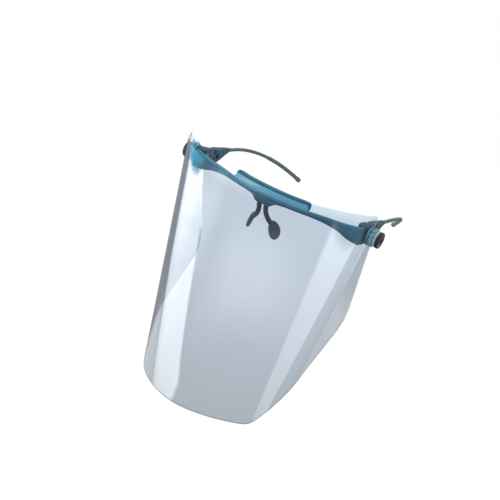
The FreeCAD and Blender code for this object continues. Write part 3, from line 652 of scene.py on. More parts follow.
def inflate(mesh, pressure, cap, frames=20, scale=10):
    """Swells a pad's cover like cloth over foam, worked at a larger scale and held to a cap."""
    scene = bpy.context.scene
    body = linked("scratch", mesh)
    mesh.transform(Matrix.Scale(scale, 4))
    add_step(body, "REMESH", mode="VOXEL", voxel_size=0.0055)
    apply_steps(body)
    rest = [vertex.co.copy() for vertex in body.data.vertices]
    cloth = add_step(body, "CLOTH")
    set_all(cloth.settings, use_pressure=True, uniform_pressure_force=pressure, quality=6,
            mass=0.3, tension_stiffness=18, compression_stiffness=18, shear_stiffness=8,
            bending_stiffness=0.6)
    cloth.settings.effector_weights.gravity = 0
    cloth.collision_settings.use_collision = False
    set_all(cloth.point_cache, frame_start=1, frame_end=frames)
    for step in range(1, frames + 1):
        scene.frame_set(step)
        bpy.context.view_layer.update()
    swollen = finished(body)
    scene.frame_set(1)
    for vertex, start in zip(swollen.vertices, rest):
        moved = vertex.co - start
        if moved.length > cap * scale:
            vertex.co = start + moved.normalized() * cap * scale
    swollen.transform(Matrix.Scale(1 / scale, 4))
    return swollen


def build_brow_pad(sizes):
    """The soft brow pad: a moulded foam cushion with a crowned back and a flat front."""
    room = sizes.pad_loft
    front = sizes.brow_radius - sizes.bar_thickness - 1.3 * MM
    back = front - 4.0 * MM
    low, high = PAD_LOW.z + room, PAD_HIGH.z - room
    turns = [2 * pi * step / 28 for step in range(28)]
    rings = []
    for index in range(81):
        share = sin((index / 40 - 1) * pi / 2)
        round_end = (1 - abs(share) ** 9) ** (1 / 3.2)
        depth = (front - back - room) * (0.45 + 0.55 * round_end) / 2
        height = (high - low) / 2 * (0.35 + 0.65 * round_end)
        section = [(front - depth + copysign(abs(cos(turn)) ** 0.62, cos(turn)) * depth,
                    (high + low) / 2 + copysign(abs(sin(turn)) ** 0.72, sin(turn)) * height)
                   for turn in turns]
        rings.append(brow_ring(sizes, asin((PAD_HIGH.x - room) / back) * share * 0.985, section))
    mesh = loft(rings)
    mesh = inflate(mesh, 3.0, room)
    mesh.shade_smooth()
    pad = linked("scratch", mesh)
    add_step(pad, "SMOOTH", factor=0.5, iterations=6)
    add_step(pad, "SUBSURF", levels=1, render_levels=1)
    mesh = finished(pad)
    flat, centre = front - 0.02 * MM, sizes.brow_radius + BAR_LOW.y
    for vertex in mesh.vertices:
        reach = hypot(vertex.co.x, vertex.co.y - centre)
        if reach > flat:
            vertex.co.x *= flat / reach
            vertex.co.y = (vertex.co.y - centre) * flat / reach + centre
    return mesh


# ---------------------------------------------------------------- nose piece


def build_nose_bridge(sizes):
    """The block under the bar: it spreads in two curves to the bar's lower edge."""
    radius, half, foot, top = sizes.brow_radius, BRIDGE_HIGH.x, BRIDGE_LOW.z, BRIDGE_HIGH.z
    sink, block = 0.12 * MM, 4.3 * MM
    rings = []
    for index in range(65):
        x = half * (index / 32 - 1)
        turn = asin(x / radius)
        out = Vector((sin(turn), -cos(turn), 0))
        beyond = (abs(x) - block) / (half - block)
        fall = (1 - smooth_step(beyond * 1.9)) * 0.66 + (1 - smooth_step(beyond)) * 0.34
        low = top + (foot - top) * fall - sink
        point = Vector((x, radius + BAR_LOW.y - radius * cos(turn), 0)) - out * sink
        rings.append(bar_ring(point, out, sizes.bar_thickness - 2 * sink, low, top + 0.6 * MM,
                              min(0.8 * MM, (top - low) * 0.4 + 0.1 * MM), 0.1 * MM))
    return loft(rings)


def arc_through(start, middle, end, count):
    """Points on the circle through three points."""
    a, b = middle - start, end - start
    cross = a.cross(b)
    centre = start + (cross.cross(a) * b.length_squared + b.cross(cross) * a.length_squared) \
        / (2 * cross.length_squared)
    axis, first = cross.normalized(), start - centre
    spin = first.angle(end - centre)
    if (Matrix.Rotation(spin, 3, axis) @ first - (end - centre)).length > 1e-5:
        spin = 2 * pi - spin
    return [centre + Matrix.Rotation(spin * i / count, 3, axis) @ first for i in range(count + 1)]


def nose_places():
    """The right nose arm's root and bend and its pad's centre and directions."""
    origin = Vector((0, BAR_LOW.y, -2.2 * MM))
    root, bend, pad = (origin + Vector(place) * MM for place in
                       ((3.2, 1.6, -2.2), (3.8, 8.2, -12.2), (9.3, 15.6, -20.6)))
    down, face = Vector((0.33, 0.58, -0.74)).normalized(), Vector((-0.93, 0.33, -0.16))
    return root, bend, pad, down, (face - down * face.dot(down)).normalized()


def build_nose_arm():
    """A bent nose arm that swells to a collar at the bridge and at its pad."""
    root, bend, pad, down, _ = nose_places()
    path = arc_through(root, bend, pad - down * 4.5 * MM, 60)
    path.insert(0, path[0] + (path[0] - path[1]).normalized() * 0.3 * MM)
    shares = [index / (len(path) - 1) for index in range(len(path))]
    radii = [(1.25 + 0.42 * smooth_step((share - 0.09) * 9)
              + 0.14 * exp(-((share - 0.17) / 0.035) ** 2)
              + 0.1 * smooth_step(share * 3 - 2)) * MM for share in shares]
    return tube(path, radii, 28)


def build_nose_pad():
    """A soft nose pad: an oval leaf with a domed back, a dished face and a round rim."""
    _, _, centre, down, face = nose_places()
    across = face.cross(down)
    half_length, half_width, half_depth = 7.8 * MM, 5.0 * MM, 2.1 * MM
    spins = [2 * pi * index / 56 for index in range(56)]
    rings = []
    for level in range(19):
        angle = pi * (0.02 + 0.96 * level / 18)
        spread, rise = sin(angle) ** 0.72, cos(angle)
        depth = rise * (0.92 - (0.32 * (1 - spread**2) if rise > 0 else 0)) * half_depth
        rings.append([centre + across * (cos(spin) * spread * half_width * (1 + 0.16 * sin(spin)))
                      + down * (sin(spin) * spread * half_length) + face * depth
                      for spin in spins])
    return loft(rings)


# ---------------------------------------------------------------- end blocks and pivots


def build_end_block():
    """The right end block with its pivot boss and hinge tongue."""
    inner, outer, front, back = BLOCK_LOW.x, BAR_HIGH.x, BAR_HIGH.y, 9.6 * MM
    top, bottom, shoulder, knuckle = 6.2 * MM, -7.6 * MM, 3.0 * MM, 3.1 * MM
    blend, nose, lip = 4.0 * MM, 1.6 * MM, 0.8 * MM
    outline = rounded_corners([(front, bottom, nose), (shoulder, bottom, blend),
                               (back, BASE_LOW.z, lip), (back, BASE_HIGH.z, lip),
                               (shoulder, top, blend), (front, top, nose)], 8)
    block = bevelled(prism(outline, inner, outer), 0.9 * MM, 4, 50)
    boss = turned(rounded_disc(outer - 1.2 * MM, BLOCK_HIGH.x, 6.4 * MM, 0.25 * MM))
    points = [Vector((HINGE.x + knuckle * cos(turn), HINGE.y + knuckle * sin(turn)))
              for turn in (pi * i / 24 for i in range(25))]
    points += [Vector((HINGE.x + end, back - 1 * MM)) for end in (-knuckle, knuckle)]
    ear = 3.25 * MM
    tongue = bevelled(prism(points, BASE_LOW.z + ear, BASE_HIGH.z - ear, True), 0.25 * MM, 2, 40)
    recess = turned([(inner - 1 * MM, 3.25 * MM), (inner + 1.5 * MM, 3.25 * MM)])
    return combine("DIFFERENCE", combine("UNION", block, boss, tongue), recess)


def screw_head(centre, radius, height, slot_width):
    """An upright screw head with a domed face and a straight slot."""
    head = turned([(height * up, radius * out) for up, out in
                   ((0, 0.05), (0, 0.97), (0.7, 1), (0.92, 0.9), (1, 0.55), (1.03, 0.05))],
                  centre, Z_AXIS, 48)
    reach = radius * 1.3
    corners = [Vector((centre.x + u * reach, centre.y + v * slot_width / 2))
               for u, v in ((-1, -1), (1, -1), (1, 1), (-1, 1))]
    slot = prism(corners, centre.z + height * 0.45, centre.z + height * 1.5, True)
    return combine("DIFFERENCE", head, slot)


def build_hub(sizes):
    """The right bush: flange inside the sheet, fluted teal hub outside it."""
    inner, outer, radius, neck = BUSH_LOW.x, BUSH_HIGH.x, HUB_RADIUS, 4.0 * MM
    sheet_out, edge, bore = sizes.visor_half_width, 0.5 * MM, 2.1 * MM
    sheet_in = sheet_out - sizes.sheet
    flute_depth, flute_length, flute_floor = 0.75 * MM, 2.75 * MM, 6.0 * MM

    def flutes(along, reach, turn):
        if reach < flute_floor or along < outer - flute_length:
            return reach
        return reach - flute_depth * (0.5 + 0.5 * cos(sizes.hub_flutes * turn)) ** 1.6

    profile = [(inner, bore), (inner, radius - 0.3 * MM), (inner + 0.3 * MM, radius),
               (sheet_in + 0.02 * MM, radius), (sheet_in + 0.04 * MM, neck),
               (sheet_out - 0.08 * MM, neck), (sheet_out - 0.06 * MM, radius - 0.1 * MM),
               (sheet_out + 0.1 * MM, radius), (sheet_out + 0.5 * MM, radius),
               (outer - 1.0 * MM, radius),
               *corner_arc(outer - edge, radius - edge, edge, 0, 5)[::-1],
               (outer, 3.0 * MM), (outer, bore)]
    return turned(profile, segments=160, reach=flutes)


def build_knob(sizes):
    """The right knob: finely gripped rim, dished face and a coin slot."""
    inner, outer, radius, edge = KNOB_LOW.x, KNOB_HIGH.x, KNOB_HIGH.z, 0.7 * MM
    grip_depth, front_fade, back_fade = 0.22 * MM, 0.9 * MM, 0.4 * MM

    def grips(along, reach, turn):
        if reach < radius * 0.93:
            return reach
        held = smooth_step((outer - along) / front_fade) * smooth_step((along - inner) / back_fade)
        return reach - grip_depth * held * (0.5 + 0.5 * cos(sizes.knob_grips * turn)) ** 2

    profile = [(inner, 2.0 * MM), (inner, radius - 0.35 * MM),
               (inner + 0.1 * MM, radius - 0.12 * MM), (inner + 0.35 * MM, radius),
               (inner + 0.8 * MM, radius), (outer - 1.1 * MM, radius),
               *corner_arc(outer - edge, radius - edge, edge, 0, 6)[::-1],
               (outer, radius - 1.1 * MM), (outer - 0.18 * MM, radius - 1.45 * MM),
               (outer - 0.25 * MM, radius * 0.4), (outer - 0.25 * MM, 0.1 * MM)]
    slot = rounded_corners([(u * 3.5 * MM, v * 0.6 * MM, 0.55 * MM)
                            for u, v in ((-1, -1), (1, -1), (1, 1), (-1, 1))], 5)
    return combine("DIFFERENCE", turned(profile, segments=180, reach=grips),
                   prism(slot, outer - 0.75 * MM, outer + 1 * MM))


# ---------------------------------------------------------------- temples


def base_section(y, half, low, high, edge):
    """A section of the temple's root: a box with round edges."""
    edge = min(edge, half * 0.95, (high - low) * 0.45)
    right, top, bottom = half - edge, high - edge, low + edge
    corners = ((right, top), (-right, top), (-right, bottom), (right, bottom))
    return [Vector((HINGE.x + u, y, v)) for quarter, corner in enumerate(corners)
            for u, v in corner_arc(*corner, edge, quarter, 5)]


def build_temple_base():
    """The right temple's root: two hinge ears that run into a slim tapered shank."""
    knuckle, top, bottom, end = 3.1 * MM, BASE_HIGH.z, BASE_LOW.z, BASE_HIGH.y
    taper, tip, middle = HINGE.y + 4.2 * MM, 1.75 * MM, TEMPLE_HEIGHT
    turns = [pi / 2 * (0.06 + 0.94 * index / 8) for index in range(9)]
    rings = [base_section(HINGE.y - knuckle * cos(turn), knuckle * sin(turn), bottom, top,
                          0.5 * MM) for turn in turns]
    for index in range(1, 41):
        y = HINGE.y + (end - HINGE.y) * index / 40
        share = max(0, (y - taper) / (end - taper))
        eased = share * 0.75 + smooth_step(share) * 0.25
        if share < 0.12:
            eased *= smooth_step(share / 0.12) * 0.5 + 0.5
        rings.append(base_section(y, knuckle + (tip - knuckle) * eased,
                                  bottom + (middle - tip - bottom) * eased,
                                  top + (middle + tip - top) * eased, (0.5 + 0.9 * eased) * MM))
    rings.append(base_section(end + 0.25 * MM, tip * 0.8, middle - tip * 0.8, middle + tip * 0.8,
                              1.1 * MM))
    slot_end, slot_start, ear = HINGE.y + knuckle + 0.6 * MM, HINGE.y - 2 * knuckle, 3.1 * MM
    slot = rounded_corners([(slot_start, bottom + ear, 0), (slot_end, bottom + ear, 0.6 * MM),
                            (slot_end, top - ear, 0.6 * MM), (slot_start, top - ear, 0)], 4)
    seat = turned([(0, 1.72 * MM), (2 * MM, 1.72 * MM)],
                  Vector((HINGE.x, HINGE.y, top - 0.9 * MM)), Z_AXIS, 48)
    return combine("DIFFERENCE", loft(rings),
                   prism(slot, BLOCK_LOW.x - 2 * MM, BLOCK_HIGH.x + 2 * MM), seat)


def hook_bend(sizes):
    """The radius and turn of the right temple's bend."""
    offset = hypot(sizes.hook_drop, sizes.hook_inward)
    return ((sizes.hook_reach**2 + offset**2) / (2 * offset),
            2 * atan2(offset, sizes.hook_reach))


def hook_path(sizes, first, count):
    """Points on the right temple's bend, from a share of its turn to its end."""
    radius, whole = hook_bend(sizes)
    start = Vector((HINGE.x, BASE_HIGH.y + 12.0 * MM, TEMPLE_HEIGHT))
    inward = Vector((-sizes.hook_inward, 0, -sizes.hook_drop)).normalized()
    turns = [whole * (first + (1 - first) * index / count) for index in range(count + 1)]
    return [start + inward * radius * (1 - cos(turn)) + Y_AXIS * radius * sin(turn)
            for turn in turns]


def build_temple_arm(sizes):
    """The right temple's thin arm, a little thicker where it leaves its root."""
    path = [Vector((HINGE.x, BASE_HIGH.y - 1.5 * MM + 1.0 * MM * i, TEMPLE_HEIGHT))
            for i in range(13)] + hook_path(sizes, 0, 70)[:-3]
    radii = [sizes.temple_radius + 0.2 * MM * (1 - smooth_step(index / 8))
             for index in range(len(path))]
    return tube(path, radii, 24)


def build_ear_sleeve(sizes):
    """The right soft ear sleeve with a rolled mouth and a bulb at its tip."""
    radius, whole = hook_bend(sizes)
    shares = [index / 90 for index in range(91)]
    radii = [sizes.sleeve_radius + (0.10 * exp(-((share - 0.012) / 0.012) ** 2)
                                    + 0.40 * smooth_step((share - 0.90) / 0.1)) * MM
             for share in shares]
    return tube(hook_path(sizes, 1 - sizes.sleeve_length / (radius * whole), 90), radii, 28)


# ---------------------------------------------------------------- visor


class VisorSurface:
    """The visor's conical skin, found from a place in the side view."""

    def __init__(self, sizes):
        self.sizes, self.back, self.drop = sizes, sizes.apex_back, sizes.apex_drop
        self.sine, self.cosine = sin(sizes.visor_lean), cos(sizes.visor_lean)

    def plan(self, run, inset):
        """A point of the plan curve: run is 0 at the front's middle and 1 at the pivot line."""
        width, depth = self.sizes.visor_half_width - inset, self.sizes.visor_depth - inset
        if run > 1:
            return width, (run - 1) * self.sizes.visor_depth
        full, rest = self.sizes.front_fullness, 1 - run
        near, far = 3 * rest**2 * run, 3 * rest * run**2
        return width * (near * full + far + run**3), -depth * (rest**3 + near + far * full)

    def run_at(self, plan_y):
        """The plan curve's run where it reaches a plan Y."""
        if plan_y >= 0:
            return 1 + plan_y / self.sizes.visor_depth
        low, high = 0.0, 1.0
        for _ in range(48):
            middle = (low + high) / 2
            low, high = (middle, high) if self.plan(middle, 0)[1] < plan_y else (low, middle)
        return (low + high) / 2

    def from_side(self, y, z):
        """The surface's own coordinates (run, height) of a place in the side view."""
        straight, height = y * self.cosine + z * self.sine, z * self.cosine - y * self.sine
        return self.run_at(self.back + (straight - self.back) / (1 + height / self.drop)), height

    def point(self, run, height, inset=0.0):
        x, y = self.plan(run, inset)
        scale = 1 + height / self.drop
        y = self.back + (y - self.back) * scale
        return Vector((x * scale, y * self.cosine - height * self.sine,
                       y * self.sine + height * self.cosine))


def even_points(points, count):
    """A polyline's points, spread evenly."""
    runs = [0.0]
    for before, after in zip(points, points[1:]):
        runs.append(runs[-1] + (after - before).length)
    spread, index = [], 0
    for step in range(count + 1):
        target = runs[-1] * step / count
        while index < len(points) - 2 and runs[index + 1] < target:
            index += 1
        span = runs[index + 1] - runs[index]
        share = (target - runs[index]) / span if span > 0 else 0
        spread.append(points[index].lerp(points[index + 1], share))
    return spread


def visor_edges(surface):
    """The visor's upper and lower edges on its skin, which meet at the cheek's corner."""
    front = -106
    corners = [(front, 16, 0), (-8, 16, 8), (8.5, 3.5, 6), (8.5, -7, 0), (47.5, -76, 18),
               (10, -114.5, 80), (-17, -157, 9), (front, -152.5, 0)]
    outline = rounded_corners([(y * MM, z * MM, r * MM) for y, z, r in corners], 20)
    cheek = max(range(len(outline)), key=lambda index: outline[index].x)
    for chain in (outline[:cheek + 1], outline[cheek:][::-1]):
        placed = [Vector(surface.from_side(*p)) for p in even_points(chain, 900)]
        placed = [p for p in placed if p.x > 1e-4]
        yield [Vector((0, placed[0].y))] + placed


def build_visor(sizes):
    """The clear sheet, one half laid out in columns from edge to edge, then mirrored."""
    surface = VisorSurface(sizes)
    insets = (0.0, sizes.sheet)
    columns, rows, sheet, cut, rim = 120, 44, 0, 1, 2
    edge_row, hole_zone, touching, front_share = 0.45 * MM, 9 * MM, 0.01 * MM, 0.6
    top_edge, bottom_edge = (
        even_points([Vector((p.x * RUN_WEIGHT, p.y)) for p in chain], columns)
        for chain in visor_edges(surface))
    places = {}
    for column, (top, bottom) in enumerate(zip(top_edge, bottom_edge)):
        border = min(edge_row / max((bottom - top).length, MM), 0.5 / rows)
        for row in range(rows + 1):
            share = border + (row - 1) / (rows - 2) * (1 - 2 * border)
            spot = top.lerp(bottom, share if 0 < row < rows else row // rows)
            for layer, inset in enumerate(insets):
                places[layer, column, row] = surface.point(spot.x / RUN_WEIGHT, spot.y, inset)

    def from_axis(*corners):
        middle = sum((places[0, *corner] for corner in corners), Vector()) / len(corners)
        return hypot(middle.y, middle.z)

    faces, borders = [], {}
    for column in range(columns):
        for row in range(rows):
            quad = [(column, row), (column + 1, row), (column + 1, row + 1), (column, row + 1)]
            if from_axis(*quad) >= SHEET_HOLE * 1.2:
                # Painted shade: the last row along the front of the lower edge takes the dark rim
                # tint.
                paint = rim if row == rows - 1 and column < front_share * columns else sheet
                faces += [([(0, *spot) for spot in quad], paint),
                          ([(1, *spot) for spot in quad[::-1]], paint)]
                borders.update(dict.fromkeys(zip(quad, quad[1:] + quad[:1])))
    for a, b in borders:
        if (b, a) in borders or a[0] == b[0] == 0:
            continue
        if from_axis(a, b) < hole_zone:
            for layer, inset in enumerate(insets):
                for spot in (a, b):
                    flat = places[layer, *spot].yz
                    if abs(flat.length - SHEET_HOLE) > touching:
                        flat = flat.normalized() * SHEET_HOLE
                        places[layer, *spot] = surface.point(*surface.from_side(*flat), inset)
        faces.append(([(0, *b), (0, *a), (1, *a), (1, *b)], rim if a[1] == b[1] == rows else cut))
    numbers = {key: number for number, key in enumerate(places)}
    right = [[numbers[key] for key in keys] for keys, _ in faces]
    left = [[number + len(places) for number in face[::-1]] for face in right]
    points = list(places.values()) + [Vector((-p.x, p.y, p.z)) for p in places.values()]
    return mesh_from(points, right + left, 1e-6, [paint for _, paint in faces] * 2)


# ---------------------------------------------------------------- operators


MATERIALS = {}


def settle(name, mesh, paints, body, node, angle=40):
    """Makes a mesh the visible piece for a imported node: it takes the finishes that its words
    name, and rides on the node's body."""
    for paint in paints.split():
        mesh.materials.append(MATERIALS[paint])
    mesh.shade_smooth()
    mesh.set_sharp_from_angle(angle=radians(angle))
    piece = linked(name, mesh)
    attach(piece, body)
    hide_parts(node)
    return piece


def settle_pair(name, right_mesh, paint, body, node, angle=40):
    """The right piece and its mirror image, each on its own body and node."""
    return [settle(f"{name}_{side}", mesh, paint, body.format(side=side),
                   f"{node}_{side}", angle)
            for side, mesh in (("left", mirrored(right_mesh)), ("right", right_mesh))]


class SHIELD_OT_materials(bpy.types.Operator):
    """Make every finish of the shield"""

    bl_idname = "shield.materials"
    bl_label = "Finishes"

    def execute(self, context):
        tones = context.scene.shield_colours
        MATERIALS.update(
            # The frame nylon takes painted shade towards its lower edge.
            nylon=moulded("frame_nylon", tones.nylon, 0.34, 0.15, low=tones.nylon_painted_shade),
            hub=moulded("hub_nylon", tones.hub, 0.34, 0.15),
            block=moulded("block_nylon", tones.block, 0.38, 0.1),
            light_nylon=moulded("light_nylon", tones.light_nylon, 0.36, 0.1),
            foam=foam("pad_foam", tones.foam),
            nose=moulded("nose_plastic", tones.nose, 0.38),
            nose_rubber=soft_rubber("nose_rubber", tones.nose, 0.45),
            temple=moulded("temple_plastic", tones.temple, 0.42),
            hinge=moulded("temple_root_plastic", tones.hinge, 0.40),
            sleeve=soft_rubber("sleeve_rubber", tones.sleeve, 0.5),
            knob=moulded("knob_plastic", tones.knob, 0.3, 0.2),
            spacer=moulded("spacer_plastic", tones.spacer, 0.4, shade=0.05),
            sheet=clear_sheet("clear_sheet", tones.sheet_top, tones.sheet_middle,
                              tones.sheet_bottom),
            sheet_edge=cut_edge("clear_sheet_edge", tones.sheet_edge, 0.03),
            sheet_rim=cut_edge("clear_sheet_rim", tones.sheet_rim, 0.45),
            steel=brushed_steel("screw_steel", tones.steel),
            rubber=soft_rubber("washer_rubber", tones.rubber))
        for name, node in frame["nodes"].items():
            for word, paint in (("pins", "nylon"), ("washer", "rubber"), ("screw", "steel")):
                if word in name:
                    node.data.materials.clear()
                    node.data.materials.append(MATERIALS[paint])
        return {"FINISHED"}


class SHIELD_OT_visor(bpy.types.Operator):
    """Build the clear visor"""

    bl_idname = "shield.visor"
    bl_label = "Visor"

    def execute(self, context):
        settle("visor_clear_sheet", build_visor(context.scene.shield_sizes),
               "sheet sheet_edge sheet_rim", "visor", "visor", 50)
        return {"FINISHED"}


class SHIELD_OT_brow(bpy.types.Operator):
    """Build the brow bar, the pad's carrier and the soft brow pad"""

    bl_idname = "shield.brow"
    bl_label = "Brow bar and pad"

    def execute(self, context):
        sizes = context.scene.shield_sizes
        settle("brow_bar_nylon", build_brow_bar(sizes), "nylon", "frame",
               "brow_bar", 50)
        # The carrier takes the lighter nylon as painted light on its upward face.
        settle("pad_carrier_strip", build_pad_carrier(sizes), "light_nylon", "frame",
               "pad_carrier", 35)
        pad = settle("brow_pad_foam", build_brow_pad(sizes), "foam", "frame",
                     "brow_pad", 180)
        return {"FINISHED"}


class SHIELD_OT_nose(bpy.types.Operator):
    """Build the nose bridge, its two arms and the nose pads"""

    bl_idname = "shield.nose"
    bl_label = "Nose piece"

    def execute(self, context):
        sizes = context.scene.shield_sizes
        settle("nose_bridge_block", build_nose_bridge(sizes), "nylon", "frame",
               "nose_bridge", 50)
        settle_pair("nose_arm_rod", build_nose_arm(), "nose", "frame",
                    "nose_arm", 60)
        for pad in settle_pair("nose_pad_leaf", build_nose_pad(), "nose_rubber", "frame",
                               "nose_pad", 60):
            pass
        return {"FINISHED"}


class SHIELD_OT_pivots(bpy.types.Operator):
    """Build the end blocks and the visor's pivots"""

    bl_idname = "shield.pivots"
    bl_label = "End blocks and pivots"

    def execute(self, context):
        sizes = context.scene.shield_sizes
        settle_pair("end_block_body", build_end_block(), "block", "frame",
                    "end_block")
        settle_pair("visor_hub", build_hub(sizes), "hub", "visor", "visor_bush")
        spacer = turned(rounded_disc(SPACER_LOW.x, SPACER_HIGH.x, SPACER_HIGH.z, 0.35 * MM))
        settle_pair("spacer_ring_disc", spacer, "spacer", "frame",
                    "spacer_ring")
        settle_pair("knob_disc", build_knob(sizes), "knob", "frame",
                    "pivot_knob")
        return {"FINISHED"}


class SHIELD_OT_temples(bpy.types.Operator):
    """Build the two temples with their roots, arms and ear sleeves"""

    bl_idname = "shield.temples"
    bl_label = "Temples"

    def execute(self, context):
        sizes, body = context.scene.shield_sizes, "temple_{side}"
        settle_pair("temple_root", build_temple_base(), "hinge", body,
                    "temple_base")
        head = screw_head(Vector((HINGE.x, HINGE.y, BASE_HIGH.z - 0.9 * MM)), 1.6 * MM,
                          0.85 * MM, 0.45 * MM)
        settle_pair("hinge_screw_head", head, "steel", body, "hinge_screw")
        settle_pair("temple_rod", build_temple_arm(sizes), "temple", body,
                    "temple_arm", 60)
        settle_pair("ear_sleeve_tube", build_ear_sleeve(sizes), "sleeve", body,
                    "ear_sleeve", 60)
        return {"FINISHED"}


# ---------------------------------------------------------------- studio


# Boards below the shield that only its polished faces mirror: each one's name, which of the two
# glows it has, its depth below the highest, its share of that glow at its far left, near left,
# near right and far right, the share over which it fades, and its outline.
BOARDS = (
    ("dim", "board_dim", 0.020, (1, 1, 1, 1), 0, ((-9, -9), (-9, 9), (9, 9), (9, -9))),
    ("far", "board_dim", 0.015, (0.25,) * 4, 0.05, ((-6, 1.9), (-6, 8), (6, 8), (6, 1.9))),
    ("cloud", "board_glow", 0.008, (0.8,) * 4, 0.35,
     ((-1.00, -0.52), (-0.15, -1.00), (0.42, -0.93), (0.80, -0.70), (1.08, -0.38), (1.30, 0.40),
      (0.90, 0.45), (0.76, -0.18), (0.58, -0.42), (0.36, -0.56), (0.05, -0.64), (-0.70, -0.40))),
    ("haze", "board_glow", 0.006, (0.9, 0.8, 0.3, 0.5), 0.35,
     ((-1.75, 0.30), (-1.25, -0.05), (-0.80, -0.30), (-0.45, -0.85), (-0.75, -1.05),
      (-1.20, -0.75))),
    ("side", "board_glow", 0.005, (0.32,) * 4, 0.2,
     ((-1.05, 0.55), (-0.74, -0.02), (-0.55, 0.00), (-0.60, 0.90))),
    ("edge", "board_glow", 0.005, (0.25,) * 4, 0.25,
     ((0.10, 1.65), (0.15, 0.90), (0.50, 0.90), (0.65, 1.65))),
    ("inner", "board_glow", 0.004, (0.45,) * 4, 0.2,
     ((1.20, 2.60), (0.82, 1.90), (0.60, 1.35), (0.76, 1.35), (0.99, 1.90), (1.45, 2.60))),
    ("tip", "board_glow", 0.010, (0.42,) * 4, 0.08,
     ((1.05, 3.7), (1.05, 2.6), (1.75, 2.6), (1.90, 3.7))),
    ("crest", "board_glow", 0.010, (0.55, 0.55, 1.5, 1.5), 0.1,
     ((-0.60, 5.30), (-0.50, 3.90), (2.90, 4.40), (2.90, 5.30))),
    ("limb", "board_glow", 0.010, (0.4,) * 4, 0.05,
     ((-2.40, 3.70), (-2.20, 2.10), (-1.65, 2.35), (-1.20, 3.70))),
    ("lobe", "board_glow", 0.012, (0.5,) * 4, 0.08,
     ((-2.30, 1.60), (-1.75, 1.28), (-1.59, 0.06), (-2.10, 0.00)), (0.25, 0.85, 1.1)),
    ("left", "board_glow", 0, (0.6, 0.62, 2.6, 2.4), 0.05,
     ((-1.80, 1.20), (-1.20, 0.66), (-0.58, -0.04), (-0.20, -0.51), (-1.06, -0.37),
      (-1.55, 0.03))),
    ("right", "board_glow", 0, (1.55, 0.8, 0.8, 1.1), 0.08,
     ((1.365, 0.01), (0.60, 0.11), (0.60, 0.22), (1.29, 1.04))),
)


def along(line, share):
    """The place at a share of the way along a line of points."""
    reach = share * (len(line) - 1)
    first = min(int(reach), len(line) - 2)
    return line[first].lerp(line[first + 1], reach - first)


def build_board(studio, name, glow, drop, shares, soft, outline, hue=(1, 1, 1)):
    """One of the boards. Its outline runs down its left side and up its right one."""
    finish = Finish(name + "_board")
    spread = finish.node("ShaderNodeTexCoord", output="UV")
    across, down = finish.part(spread, "X"), finish.part(spread, "Y")
    tones = [(*(getattr(studio, glow) * share * part for part in hue), 1) for share in shares]
    shader = finish.glow(finish.between(down, finish.between(across, tones[0], tones[3]),
                                        finish.between(across, tones[1], tones[2])))
    if soft:
        fade = ((0.0, 0), (soft, 1), (1 - soft, 1), (1.0, 0))
        share = finish.stops(down, fade) * finish.stops(across, fade)
        shader = finish.mixed(share, finish.clear(), shader)
    points = [Vector((x, y, studio.board_level - drop)) for x, y in outline]
    left, right = points[:len(points) // 2], points[:len(points) // 2 - 1:-1]
    steps = 12
    places = [(u / steps, v / steps) for v in range(steps + 1) for u in range(steps + 1)]
    points = [along(left, v).lerp(along(right, v), u) for u, v in places]
    holder = stage(name + "_board", points,
                   [(i, i + 1, i + steps + 2, i + steps + 1)
                    for i in range(steps * (steps + 1)) if i % (steps + 1) < steps],
                   finish.end(shader))
    layer = holder.data.uv_layers.new(name="spread")
    for loop in holder.data.loops:
        layer.data[loop.index].uv = places[loop.vertex_index]
    set_all(holder, visible_camera=False, visible_diffuse=False, visible_shadow=False,
            visible_transmission=False, visible_volume_scatter=False)


def stage(name, points, faces, paint):
    """A surface that isn't part of the object."""
    mesh = bpy.data.meshes.new(name)
    mesh.from_pydata([tuple(p) for p in points], [], faces)
    mesh.materials.append(paint)
    holder = linked(name, mesh)
    return holder


def lamp(name, place, size, power):
    """A soft rectangular lamp that looks at the shield."""
    light = set_all(bpy.data.lights.new(name, "AREA"), shape="RECTANGLE", size=size[0],
                    size_y=size[1], energy=power)
    aim = Vector((0, 0, -0.05)) - Vector(place)
    set_all(linked(name, light), location=place,
            rotation_euler=aim.to_track_quat("-Z", "Y").to_euler())


def camera_share(finish):
    """1 for what is seen directly or through glass, 0 for light on surfaces and in mirrors."""
    seen, passed = (finish.node("ShaderNodeLightPath", output=f"Is {kind} Ray")
                    for kind in ("Camera", "Transmission"))
    return 1 - (1 - seen) * (1 - passed)


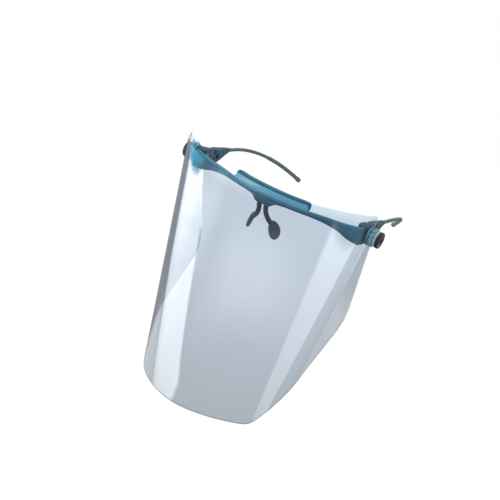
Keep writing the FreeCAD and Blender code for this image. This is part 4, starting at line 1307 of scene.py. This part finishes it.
class SHIELD_OT_studio(bpy.types.Operator):
    """Set the floor, the boards, the lamps, the room light and the camera"""

    bl_idname = "shield.studio"
    bl_label = "Studio"

    def execute(self, context):
        scene, studio = context.scene, context.scene.shield_studio
        self.set_camera(scene, studio)
        self.set_room(scene, studio)
        self.set_floor(studio)
        lamp("key_softbox", (-1.3, -1.0, 1.1), (1.2, 1.2), 19)
        lamp("fill_softbox", (1.3, -0.9, 0.8), (1.0, 1.0), 1.5)
        lamp("top_softbox", (0.0, 0.6, 1.6), (1.4, 1.0), 9)
        for row in BOARDS:
            build_board(studio, *row)
        scene.view_settings.view_transform = "Standard"
        return {"FINISHED"}

    def set_camera(self, scene, studio):
        azimuth, elevation, roll = studio.azimuth, studio.elevation, studio.roll
        back = Vector((sin(azimuth) * cos(elevation), -cos(azimuth) * cos(elevation),
                       sin(elevation)))
        right = Vector((cos(azimuth), sin(azimuth), 0))
        up = back.cross(right)
        stand = Matrix((right * cos(roll) + up * sin(roll), up * cos(roll) - right * sin(roll),
                        back)).transposed().to_4x4()
        stand.translation = Vector(studio.target) + back * studio.distance
        camera = set_all(bpy.data.cameras.new("camera"), lens=studio.lens,
                         shift_x=studio.shift_x, shift_y=studio.shift_y)
        scene.camera = set_all(linked("camera", camera), matrix_world=stand)

    def set_room(self, scene, studio):
        """Even light, and white walls where they are seen directly."""
        scene.world = bpy.data.worlds.new("room")
        finish = Finish("room", scene.world)
        strength = studio.ambient + camera_share(finish) * (1 - studio.ambient)
        finish.end(finish.node("ShaderNodeBackground", None,
                               {"Color": (1, 1, 1, 1), "Strength": strength}),
                   "ShaderNodeOutputWorld")

    def set_floor(self, studio):
        """A plain pale floor that the camera sees white where nothing shades it."""
        finish = Finish("floor")
        matt = finish.node("ShaderNodeBsdfDiffuse", None, {"Color": (0.82, 0.82, 0.82, 1)})
        paint = finish.end(finish.mixed(camera_share(finish) * 0.85, matt,
                                        finish.glow((1, 1, 1, 1), 1.15)))
        reach, level = 12.0, VISOR_LOW.z - studio.floor_drop
        corners = [(x * reach, y * reach, level) for x, y in ((-1, -1), (1, -1), (1, 1), (-1, 1))]
        stage("floor", corners, [(0, 1, 2, 3)], paint)


class SHIELD_PT_panel(bpy.types.Panel):
    bl_label = "Face Shield"
    bl_idname = "SHIELD_PT_panel"
    bl_space_type = "VIEW_3D"
    bl_region_type = "UI"
    bl_category = "Face Shield"

    def draw(self, context):
        for step in STEPS:
            self.layout.operator(step.bl_idname)


STEPS = (SHIELD_OT_studio, SHIELD_OT_materials, SHIELD_OT_visor, SHIELD_OT_brow,
         SHIELD_OT_nose, SHIELD_OT_pivots, SHIELD_OT_temples)
GROUPS = {"shield_sizes": ShieldSizes, "shield_colours": ShieldColours,
          "shield_studio": ShieldStudio}
CLASSES = (*GROUPS.values(), *STEPS, SHIELD_PT_panel)


def register():
    for item in CLASSES:
        bpy.utils.register_class(item)
    for name, group in GROUPS.items():
        setattr(bpy.types.Scene, name, PointerProperty(type=group))


def unregister():
    for name in GROUPS:
        delattr(bpy.types.Scene, name)
    for item in reversed(CLASSES):
        bpy.utils.unregister_class(item)


def main():
    register()
    for step in STEPS:
        getattr(bpy.ops.shield, step.bl_idname.split(".")[1])()


if __name__ == "__main__":
    main()
